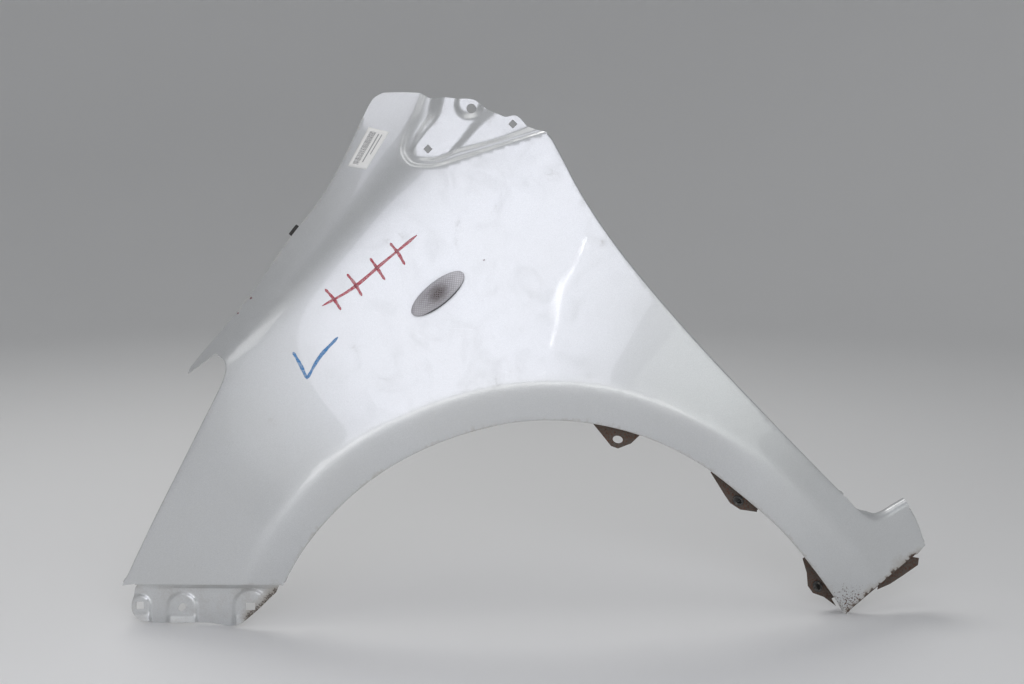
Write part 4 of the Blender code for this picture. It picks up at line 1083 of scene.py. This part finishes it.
def mark_skin_wear(sheet):
    """Adds the dirt by the sill's edge, the notch and the bumper flange, and the corner's rust."""
    verts = list(sheet.mesh.verts)
    points = project(np.array([v.co for v in verts]))
    sill = np.abs(side_of(points, dense_curve(plane(SILL_EDGE_PIXELS))))
    corner = np.linalg.norm(points - plane(RUST_CORNER_PIXELS), axis=1)
    notch = np.linalg.norm(points - plane(NOTCH_DIRT_PIXELS), axis=1)
    grime = SILL_DIRT * np.exp(-sill / SILL_DIRT_REACH)
    grime = np.maximum(grime, NOTCH_DIRT * np.exp(-notch / SILL_DIRT_REACH))
    slant = np.abs(side_of(points, plane(FLANGE_DIRT_PIXELS)))
    grime = np.maximum(grime, np.exp(-(slant / FLANGE_DIRT_REACH) ** 2))
    rust = np.exp(-(corner / RUST_REACH) ** 2)
    for vert, dirty, rusty in zip(verts, grime, rust):
        vert[sheet.grime] = max(vert[sheet.grime], dirty)
        vert[sheet.rust] = max(vert[sheet.rust], rusty)


class Nodes:
    """Adds shader nodes to a new material and links them by their socket names."""

    def __init__(self, name):
        self.material = bpy.data.materials.new(name)
        self.material.use_nodes = True
        self.tree = self.material.node_tree
        self.shader = self.tree.nodes["Principled BSDF"]
        self.place = self.add("ShaderNodeTexCoord").outputs["Object"]

    def add(self, kind, inputs=None, **settings):
        node = self.tree.nodes.new(kind)
        for key, value in settings.items():
            setattr(node, key, value)
        for key, value in (inputs or {}).items():
            self.put(node.inputs[key], value)
        return node

    def put(self, socket, value):
        if isinstance(value, bpy.types.NodeSocket):
            self.tree.links.new(value, socket)
        else:
            socket.default_value = value

    def set(self, **values):
        """Values or links for the shader's sockets, named with underscores."""
        for key, value in values.items():
            self.put(self.shader.inputs[key.replace("_", " ")], value)

    def math(self, operation, a, b=0.0, clamp=False):
        return self.add("ShaderNodeMath", {0: a, 1: b}, operation=operation, use_clamp=clamp).outputs[0]

    def plus(self, a, b, clamp=False):
        return self.math("ADD", a, b, clamp)

    def times(self, a, b):
        return self.math("MULTIPLY", a, b)

    def noise(self, size, detail=4, rough=0.55, place=None, warp=0.0):
        """Noise whose blotches are about a size in metres across."""
        inputs = {"Vector": place or self.place, "Scale": 1 / size, "Detail": detail}
        inputs |= {"Roughness": rough, "Distortion": warp}
        return self.add("ShaderNodeTexNoise", inputs).outputs["Fac"]

    def blotches(self, kind, low=0.0, high=1.0):
        """A kind of blotch from the table, running from one value to another."""
        size, detail, rough, start, end, warp = BLOTCHES[kind]
        return self.ramp(self.noise(size, detail, rough, warp=warp), start, end, low, high)

    def stretched(self, stretch, turn):
        """Object coordinates stretched along one way, for scratches and streaks."""
        mapping = {"Vector": self.place, "Rotation": (0, turn, 0), "Scale": stretch}
        return self.add("ShaderNodeMapping", mapping).outputs[0]

    def ramp(self, value, low, high, out_low=0.0, out_high=1.0):
        """A value's levels from low to high, mapped to two others and held at their ends."""
        inputs = {"Value": value, "From Min": low, "From Max": high}
        inputs |= {"To Min": out_low, "To Max": out_high}
        return self.add("ShaderNodeMapRange", inputs).outputs[0]

    def mix(self, share, low, high):
        """The first colour where the share is 0, and the second where it is 1."""
        node = self.add("ShaderNodeMix", data_type="RGBA")
        self.put(node.inputs["Factor"], share)
        self.put(node.inputs["A"], (*low, 1) if isinstance(low, tuple) else low)
        self.put(node.inputs["B"], (*high, 1) if isinstance(high, tuple) else high)
        return node.outputs["Result"]

    def cells(self, size):
        """The colours of cells about a size in metres across."""
        inputs = {"Vector": self.place, "Scale": 1 / size}
        return self.add("ShaderNodeTexVoronoi", inputs).outputs["Color"]

    def mark(self, name):
        """What the sheet's points are marked with under a name."""
        return self.add("ShaderNodeAttribute", attribute_name=name).outputs["Fac"]

    def bump(self, height, distance, strength=1.0, normal=None):
        inputs = {"Height": height, "Distance": distance, "Strength": strength}
        if normal:
            inputs["Normal"] = normal
        return self.add("ShaderNodeBump", inputs).outputs[0]


def add_wear(nodes, colour, roughness, amount=1.0):
    """Dirt film, caked dirt and rust over a colour, by the marks on the panel's points.

    Returns the colour, the roughness, how worn the paint is, and how rusted.
    """
    grime, rust = nodes.mark("grime"), nodes.mark("rust")
    broad = nodes.noise(BROAD_DIRT_SIZE, 5)
    fine = nodes.noise(FINE_DIRT_SIZE, 6, 0.7)
    both = nodes.plus(nodes.times(broad, 0.6), nodes.times(fine, 0.4))
    film = nodes.ramp(nodes.plus(both, nodes.times(grime, 0.55)), 0.62, 1.02)
    colour = nodes.mix(nodes.times(film, 0.8 * amount), colour, DUST_COLOUR)
    caked = nodes.times(nodes.noise(CAKED_DIRT_SIZE, 5, 0.6), 0.6)
    caked = nodes.plus(caked, nodes.times(grime, 0.5))
    caked = nodes.ramp(caked, 0.68, 0.80)
    colour = nodes.mix(nodes.times(caked, amount), colour, MUD_COLOUR)
    spots = nodes.noise(RUST_SPOT_SIZE, 4, 0.6, warp=0.3)
    rusted = nodes.ramp(nodes.plus(spots, nodes.times(rust, 0.24)), 0.76, 0.81)
    tone = nodes.mix(nodes.blotches("rust_tone"), RUST_DARK, RUST_BRIGHT)
    colour = nodes.mix(rusted, colour, tone)
    worn = nodes.math("MAXIMUM", nodes.math("MAXIMUM", film, caked), rusted)
    rough = nodes.plus(roughness, nodes.times(worn, 0.5), clamp=True)
    return colour, rough, worn, rusted


def silver_paint(name):
    """Silver metallic paint under clear coat, with flakes, haze, smudges and fine scratches."""
    nodes = Nodes(name)
    sparkle = nodes.add("ShaderNodeSeparateColor", {"Color": nodes.cells(FLAKE_SIZE)}).outputs[0]
    colour = nodes.mix(sparkle, *FLAKE_COLOURS)
    colour = nodes.mix(nodes.blotches("haze", 0, 0.35), colour, HAZE_COLOUR)
    smudge = nodes.blotches("smudge")
    rough = nodes.plus(PAINT_ROUGHNESS, nodes.times(smudge, 0.08))
    colour, rough, worn, rusted = add_wear(nodes, colour, rough, 0.9)
    way = nodes.stretched(SCRATCH_STRETCH, SCRATCH_TURN)
    scratch = nodes.noise(SCRATCH_SIZE, 2, 0.5, way)
    lines = nodes.math("ABSOLUTE", nodes.math("SUBTRACT", scratch, 0.5))
    lines = nodes.times(nodes.ramp(lines, 0.0015, 0.004, 1, 0), nodes.blotches("scratched"))
    colour = nodes.mix(nodes.times(lines, 0.25), colour, SCRATCH_COLOUR)
    peel = nodes.bump(nodes.noise(PEEL_SIZE, 2), PEEL_HEIGHT)
    wave = nodes.bump(nodes.noise(WAVE_SIZE, 1), WAVE_HEIGHT, 0.25, peel)
    crust = nodes.bump(nodes.plus(rusted, worn), CRUST_HEIGHT, 0.7, wave)
    coat = nodes.ramp(nodes.plus(worn, nodes.times(smudge, 0.15)), 0, 0.9, 0.9, 0.0)
    metallic = nodes.ramp(worn, 0, 1, PAINT_METALLIC, 0.0)
    nodes.set(Base_Color=colour, Roughness=rough, Metallic=metallic, Normal=crust)
    nodes.set(Coat_Weight=coat, Coat_Normal=wave, Coat_Roughness=COAT_ROUGHNESS)
    return nodes.material


def inner_paint(name):
    """The side towards the car: thin paint over primer, dusty, with splashed road dirt."""
    nodes = Nodes(name)
    colour = nodes.mix(nodes.blotches("primer"), *PRIMER_COLOURS)
    splash = nodes.blotches("splash")
    colour = nodes.mix(nodes.times(splash, 0.55), colour, SPLASH_COLOUR)
    rough = nodes.plus(INNER_ROUGHNESS, nodes.times(splash, 0.25))
    colour, rough, worn, _ = add_wear(nodes, colour, rough)
    normal = nodes.bump(nodes.plus(splash, worn), CRUST_HEIGHT, 0.5)
    nodes.set(Base_Color=colour, Roughness=rough, Normal=normal, Metallic=INNER_METALLIC)
    return nodes.material


def plain_finish(name, colours, roughness, grain, dust=0.3, metallic=0.0):
    """A moulded surface with grain, uneven tone and dust in its hollows."""
    nodes = Nodes(name)
    tone = nodes.ramp(nodes.noise(grain * 12, 4), 0.35, 0.65)
    colour = nodes.mix(tone, *colours)
    film = nodes.ramp(nodes.noise(grain * 9, 6, 0.7), 0.48, 0.72)
    colour = nodes.mix(nodes.times(film, dust), colour, DUST_COLOUR)
    rough = nodes.plus(roughness, nodes.times(film, 0.25), clamp=True)
    normal = nodes.bump(nodes.noise(grain, 3), grain / 4, 0.4)
    nodes.set(Base_Color=colour, Roughness=rough, Normal=normal, Metallic=metallic)
    return nodes.material


def clear_plastic(name):
    """The lamp's clear lens, hazed by fine scuffs and dust, with painted shade in its middle and at its
    foot, and a painted highlight at its far end.
    """
    nodes = Nodes(name)
    scuff = nodes.noise(SCUFF_SIZE, 3, 0.6, nodes.stretched(SCUFF_STRETCH, SCUFF_TURN))
    haze = nodes.ramp(scuff, 0.45, 0.7)
    colour = nodes.mix(haze, *LENS_COLOURS)
    axes = nodes.add("ShaderNodeSeparateXYZ", {"Vector": nodes.place}).outputs
    # Painted highlight: the lens's colour grows pale towards its far end
    painted_highlight_end = nodes.ramp(axes[0], 0.05 * LAMP_LENGTH, 0.45 * LAMP_LENGTH)
    colour = nodes.mix(nodes.times(painted_highlight_end, 0.8), colour, LENS_PAINTED_HIGHLIGHT_COLOUR)

    def reach(length, width):
        """How far a point lies from the middle, where an oval of this size is 1."""
        ways = [nodes.math("DIVIDE", axis, size / 2) for axis, size in zip(axes, (length, width))]
        squares = [nodes.times(way, way) for way in ways]
        return nodes.math("SQRT", nodes.plus(*squares))

    rim = reach(LAMP_LENGTH, LAMP_WIDTH)
    # Painted shade: a dark brown middle that stands in for the bulb and housing seen through the lens
    seen_through_shade = nodes.plus(reach(*SEEN_THROUGH_SHADE_SIZE), nodes.times(nodes.noise(SEEN_THROUGH_SHADE_GRAIN, 3), 0.6))
    seen_through_shade = nodes.ramp(seen_through_shade, 0.55, 1.25, 1, 0)
    feet = []
    for way in ("ADD", "SUBTRACT"):
        turned = nodes.math("DIVIDE", nodes.math(way, axes[0], axes[1]), NET_PITCH)
        feet.append(nodes.math("PINGPONG", turned, 0.5))
    foot = nodes.math("MINIMUM", *feet)
    net = nodes.ramp(foot, 0.06, 0.26, 1, 0)
    net = nodes.times(net, nodes.ramp(rim, 0.2, 0.9, 0.95, 0.45))
    colour = nodes.mix(nodes.times(seen_through_shade, 0.97), colour, SEEN_THROUGH_SHADE_COLOUR)
    colour = nodes.mix(net, colour, NET_COLOUR)
    # Painted shade: a black band round the lens's foot, reaching higher on its lower side
    shaded_low_side = nodes.ramp(axes[1], -0.40 * LAMP_WIDTH, -0.05 * LAMP_WIDTH, LENS_LOW_SIDE_SHADE_RISE, 0)
    foot = nodes.math("SUBTRACT", axes[2], shaded_low_side)
    foot = nodes.ramp(foot, LENS_SEAT, LENS_SEAT + LENS_SHADE, 1, 0)
    colour = nodes.mix(foot, colour, LENS_PAINTED_SHADE_COLOUR)
    nodes.set(Base_Color=colour, Roughness=nodes.ramp(haze, 0, 1, 0.05, 0.16))
    nodes.set(Transmission_Weight=nodes.ramp(rim, 0.20, 0.80, 0.45, 0.20))
    nodes.set(IOR=LENS_IOR, Specular_IOR_Level=0.3)
    return nodes.material


def amber_glass(name):
    """The bulb's amber glass, a little uneven in tone and gloss."""
    nodes = Nodes(name)
    nodes.set(Base_Color=nodes.mix(nodes.blotches("amber"), *AMBER_COLOURS))
    nodes.set(Roughness=nodes.blotches("amber_gloss", 0.04, 0.12))
    nodes.set(Transmission_Weight=0.35, IOR=GLASS_IOR)
    return nodes.material


def ink(name, colour):
    """Marker ink, thin at its streaks."""
    nodes = Nodes(name)
    streak = nodes.blotches("ink")
    thin = tuple(INK_SHARE * c + (1 - INK_SHARE) * THIN_INK for c in colour)
    nodes.set(Base_Color=nodes.mix(streak, thin, colour))
    nodes.set(Roughness=nodes.ramp(streak, 0, 1, 0.45, 0.30))
    return nodes.material


def seat(lift, centre, turn):
    """A frame on a surface: X along the turn, Z off the outer face."""
    step = SHEET * np.array((math.cos(turn), math.sin(turn)))
    steps = np.array((centre, centre + step, centre + (-step[1], step[0])))
    origin, ahead, across = (Vector(p) for p in lift(steps))
    x_axis = (ahead - origin).normalized()
    z_axis = x_axis.cross(across - origin).normalized()
    y_axis = z_axis.cross(x_axis)
    turned = Matrix((x_axis, y_axis, z_axis)).transposed().to_4x4()
    return Matrix.Translation(origin) @ turned


def build_lens():
    """A clear dome over a skirt, with a net of small pyramids on its inner face."""
    half = np.array((LAMP_LENGTH, LAMP_WIDTH)) / 2
    bore = half - LENS_WALL
    base = LENS_SEAT
    shoulder = base + LAMP_SKIRT
    rise = LAMP_HEIGHT - LAMP_SKIRT
    angles = np.arange(LENS_SIDES) * 2 * math.pi / LENS_SIDES
    ring = np.column_stack((np.cos(angles), np.sin(angles)))
    lifts = SQUARE * np.linspace(0, 1, LENS_RINGS)[:-1]

    def rows(size, height, net):
        for lift in lifts:
            spots = ring * size * math.cos(lift)
            level = shoulder + height * math.sin(lift)
            turned = spots @ np.array(((1, 1), (1, -1))) / NET_PITCH
            peaks = np.abs(turned - np.round(turned)).min(axis=1) * 2
            fade = smooth(math.sin(lift) / NET_FADE_SHARE)
            yield np.column_stack((spots, level - net * (1 - peaks) * fade))

    outer = [np.column_stack((ring * half, np.full(LENS_SIDES, base)))]
    outer += list(rows(half, rise, 0.0))
    inner = [np.column_stack((ring * bore, np.full(LENS_SIDES, base)))]
    inner += list(rows(bore, rise - LENS_WALL, NET_DEPTH))
    mesh = bmesh.new()
    loops = [[mesh.verts.new(p) for p in row] for row in inner[::-1] + outer]
    add_quads(mesh, [loop + loop[:1] for loop in loops])
    mesh.faces.new(loops[0])
    mesh.faces.new(loops[-1])
    bmesh.ops.recalc_face_normals(mesh, faces=mesh.faces)
    lens = mesh_object("repeater_lens_net", mesh, clear_plastic("clear_lens"))
    lens.data.shade_smooth()
    lens.data.set_sharp_from_angle(angle=LENS_SHARP_ANGLE)
    lens.matrix_world = Matrix.Translation(-ORIGIN) @ seat(skin, plane(LAMP_PIXELS)[0], LAMP_TURN)
    return lens


def build_stroke(name, lines, width, colour):
    """Marker strokes on the skin: flat ribbons with thin ends along hand-drawn lines."""
    mesh = bmesh.new()
    for line in lines:
        path = evenly(dense_curve(plane(line)), STROKE_STEPS)
        share = np.linspace(0, 1, STROKE_STEPS)
        sway = 1
        for (size, wave), start in ((SLOW_SWAY, len(line)), (FAST_SWAY, 0)):
            sway = sway + size * np.sin(wave * share + start)
        ends = np.minimum(share, 1 - share) * STROKE_STEPS / STROKE_TAPER_STEPS
        half = width / 2 * sway * np.sqrt(np.clip(ends, STROKE_END_SHARE, 1))
        off = outward(path) * half[:, None]
        columns = [over_skin(path + off * side) for side in np.linspace(-1, 1, STROKE_ROWS)]
        add_quads(mesh, [[mesh.verts.new(p) for p in column] for column in columns])
    return finish_patch(name, mesh, ink(name, colour))


def finish_patch(name, mesh, material):
    """Turns a thin patch outward and gives it a little thickness."""
    bmesh.ops.recalc_face_normals(mesh, faces=mesh.faces)
    for face in mesh.faces:
        if face.normal.y > 0:
            face.normal_flip()
        face.smooth = True
    patch = mesh_object(name, mesh, material)
    patch.location = -ORIGIN
    film = patch.modifiers.new("film", "SOLIDIFY")
    film.thickness = INK_LIFT * FILM_SHARE
    film.offset = -1
    return patch


def build_sticker():
    """A blank paper sticker that bends over the shoulder, with plain printed bars."""
    left_top, right_top, right_low, left_low = plane(STICKER_PIXELS)
    share = np.linspace(0, 1, STICKER_STEPS)
    mesh = bmesh.new()
    uv = mesh.loops.layers.uv.new("print")
    rows = []
    for v in share:
        start = left_top + (left_low - left_top) * v
        end = right_top + (right_low - right_top) * v
        spots = start + (end - start) * share[:, None]
        rows.append([mesh.verts.new(p) for p in over_skin(spots)])
    for count, face in enumerate(add_quads(mesh, rows)):
        j, i = divmod(count, STICKER_STEPS - 1)
        for loop, (a, b) in zip(face.loops, ((i, j), (i + 1, j), (i + 1, j + 1), (i, j + 1))):
            loop[uv].uv = (share[a], share[b])
    return finish_patch("blank_sticker", mesh, sticker_paper("sticker_paper"))


def sticker_paper(name):
    """White paper with a block of bars and a few plain rules."""
    nodes = Nodes(name)
    place = nodes.add("ShaderNodeUVMap", uv_map="print").outputs[0]
    axes = nodes.add("ShaderNodeSeparateXYZ", {"Vector": place}).outputs

    def block(spans):
        """1 inside a block of the sticker, 0 outside it."""
        bands = []
        for value, (low, high) in zip(axes, spans):
            above = nodes.math("GREATER_THAN", value, low)
            bands.append(nodes.times(above, nodes.math("LESS_THAN", value, high)))
        return nodes.times(*bands)

    rows = {"W": nodes.times(axes[1], PRINT_ROWS), "Detail": 0}
    stripes = nodes.add("ShaderNodeTexNoise", rows, noise_dimensions="1D")
    bars = nodes.math("GREATER_THAN", stripes.outputs["Fac"], 0.52)
    bars = nodes.times(bars, block(PRINT_BAR_SHARES))
    rules = nodes.math("MAXIMUM", *(block(spans) for spans in PRINT_RULE_SHARES))
    printed = nodes.math("MAXIMUM", bars, nodes.times(rules, 0.6))
    paper = nodes.mix(nodes.noise(PAPER_TONE_SIZE, 5), *PAPER_COLOURS)
    nodes.set(Base_Color=nodes.mix(printed, paper, PRINT_COLOUR))
    nodes.set(Roughness=nodes.ramp(printed, 0, 1, 0.62, 0.45))
    nodes.set(Normal=nodes.bump(nodes.noise(PAPER_WAVE_SIZE, 2), PAPER_WAVE_HEIGHT, 0.3))
    return nodes.material


def build_dots():
    """The specks of dark red ink on the shoulder strip and the skin."""
    mesh = bmesh.new()
    for pixels, radius in DOT_PIXELS.items():
        rim = ellipse(plane(pixels)[0], 2 * radius, DOT_WIDTH * radius, DOT_TURN, DOT_SIDES)
        mesh.faces.new([mesh.verts.new(p) for p in over_skin(rim)])
    return finish_patch("paint_specks", mesh, ink("dark_red_ink", SPECK_INK))


def build_stage(low):
    """A pale round floor that sweeps up into a pale wall on every side of the object."""
    section = [(0.0, 0.0), (STAGE_RADIUS - STAGE_SWEEP, 0.0)]
    for angle in np.linspace(0, SQUARE, STAGE_STEPS)[1:]:
        reach = STAGE_RADIUS - STAGE_SWEEP * (1 - math.sin(angle))
        section.append((reach, STAGE_SWEEP * (1 - math.cos(angle))))
    section.append((STAGE_RADIUS, STAGE_HEIGHT))
    mesh = bmesh.new()
    verts = [mesh.verts.new((reach, 0, low.z + height)) for reach, height in section]
    edges = [mesh.edges.new(pair) for pair in zip(verts[:-1], verts[1:])]
    turn = {"cent": (0, 0, 0), "axis": (0, 0, 1), "angle": 4 * SQUARE, "steps": STAGE_SIDES}
    bmesh.ops.spin(mesh, geom=verts + edges, **turn)
    bmesh.ops.remove_doubles(mesh, verts=mesh.verts, dist=INK_LIFT)
    bmesh.ops.recalc_face_normals(mesh, faces=mesh.faces)
    nodes = Nodes("pale_backdrop")
    tone = nodes.noise(STAGE_TONE_SIZE, 2)
    nodes.set(Base_Color=nodes.mix(tone, *STAGE_COLOURS), Roughness=STAGE_ROUGHNESS)
    backdrop = mesh_object("backdrop", mesh, nodes.material)
    backdrop.data.shade_smooth()


def add_light(name, at, aim, size, power, colour=(1, 1, 1)):
    """A soft box that the camera doesn't see."""
    data = bpy.data.lights.new(name, "AREA")
    data.shape = "RECTANGLE"
    data.size, data.size_y = size
    data.energy = power
    data.color = colour
    light = add_object(name, data)
    light.location = at
    light.rotation_euler = (Vector(aim) - Vector(at)).to_track_quat("-Z", "Y").to_euler()
    light.visible_camera = False
    return light


def mirrored(spot, distance, lift=skin):
    """Where a surface at a spot of the picture plane mirrors the eye, and the spot in space."""
    at = seat(lift, spot, 0.0)
    point, normal = at.translation, at.col[2].to_3d()
    ray = (point - TO_EYE * EYE_DISTANCE).normalized()
    return point + (ray - 2 * ray.dot(normal) * normal) * distance, point


def streak_ends():
    """Pairs of spots along the streak's dashes, between which a short tube is mirrored."""
    for line in STREAK_PIXELS:
        spots = evenly(plane(line), STREAK_PARTS + 1)
        yield from zip(spots[:-1], spots[1:])


def build_lights():
    """A wide soft key where the bright middle mirrors it, weak fills, and the streak's tubes."""
    world = bpy.data.worlds.new("studio")
    bpy.context.scene.world = world
    world.use_nodes = True
    sky = world.node_tree.nodes["Background"]
    sky.inputs["Color"].default_value = SKY_COLOUR
    sky.inputs["Strength"].default_value = SKY_STRENGTH
    for name, (pixels, surface, size, power, colour) in MIRRORED_LIGHTS.items():
        lift = bumper_face if surface == "bumper" else skin
        place, spot = mirrored(plane(pixels)[0], KEY_DISTANCE, lift)
        add_light(name, place - ORIGIN, spot - ORIGIN, size, power, colour)
    for name, settings in PLAIN_LIGHTS.items():
        add_light(name, *settings)
    for i, ends in enumerate(streak_ends()):
        ends, spots = zip(*(mirrored(spot, STREAK_DISTANCE) for spot in ends))
        run = ends[1] - ends[0]
        middle, centre = (ends[0] + ends[1]) / 2 - ORIGIN, (spots[0] + spots[1]) / 2 - ORIGIN
        size = (run.length, STREAK_WIDTH)
        light = add_light(f"tube_{i}", middle, centre, size, STREAK_POWER * run.length)
        ahead = (middle - centre).normalized()
        side = (run - ahead * run.dot(ahead)).normalized()
        light.rotation_euler = Matrix((side, ahead.cross(side), ahead)).transposed().to_euler()


def build_camera():
    data = bpy.data.cameras.new("camera")
    data.sensor_width = SENSOR_WIDTH
    data.lens = EYE_DISTANCE / (PIXEL * FRAME_WIDTH_PIXELS) * data.sensor_width
    data.clip_start = CLIP_START
    camera = add_object("camera", data)
    camera.location = TO_EYE * EYE_DISTANCE - ORIGIN
    camera.rotation_euler = (-TO_EYE).to_track_quat("-Z", "Y").to_euler()
    bpy.context.scene.camera = camera


def place(piece, slot=None, *nodes):
    """Rides a piece on the panel's body, and hides the solids that it stands in for."""
    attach(piece, "root")
    if nodes:
        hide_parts(*nodes)


def finish_node(name, material):
    """Gives a solid that stays its own material."""
    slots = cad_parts[name].data.materials
    slots.clear()
    slots.append(material)


ORIGIN = Vector(pad(plane(PAD_MOUNT_PIXELS))[0])

build_camera()
panel = build_panel()
panel.location = -ORIGIN
place(panel, "silver_paint", "fender_panel")
place(build_lens(), "clear_lens", "repeater_lens")
place(build_stroke("marker_tally", TALLY_PIXELS, TALLY_WIDTH, RED_INK))
place(build_stroke("marker_tick", TICK_PIXELS, TICK_WIDTH, BLUE_INK))
place(build_sticker())
place(build_dots())

for node, finish in MOULDED_FINISHES.items():
    finish_node(node, plain_finish(*finish))
finish_node("repeater_bulb", amber_glass("amber_bulb"))

build_stage(CAD_BOX[0])
build_lights()
bpy.context.scene.view_settings.view_transform = "Standard"
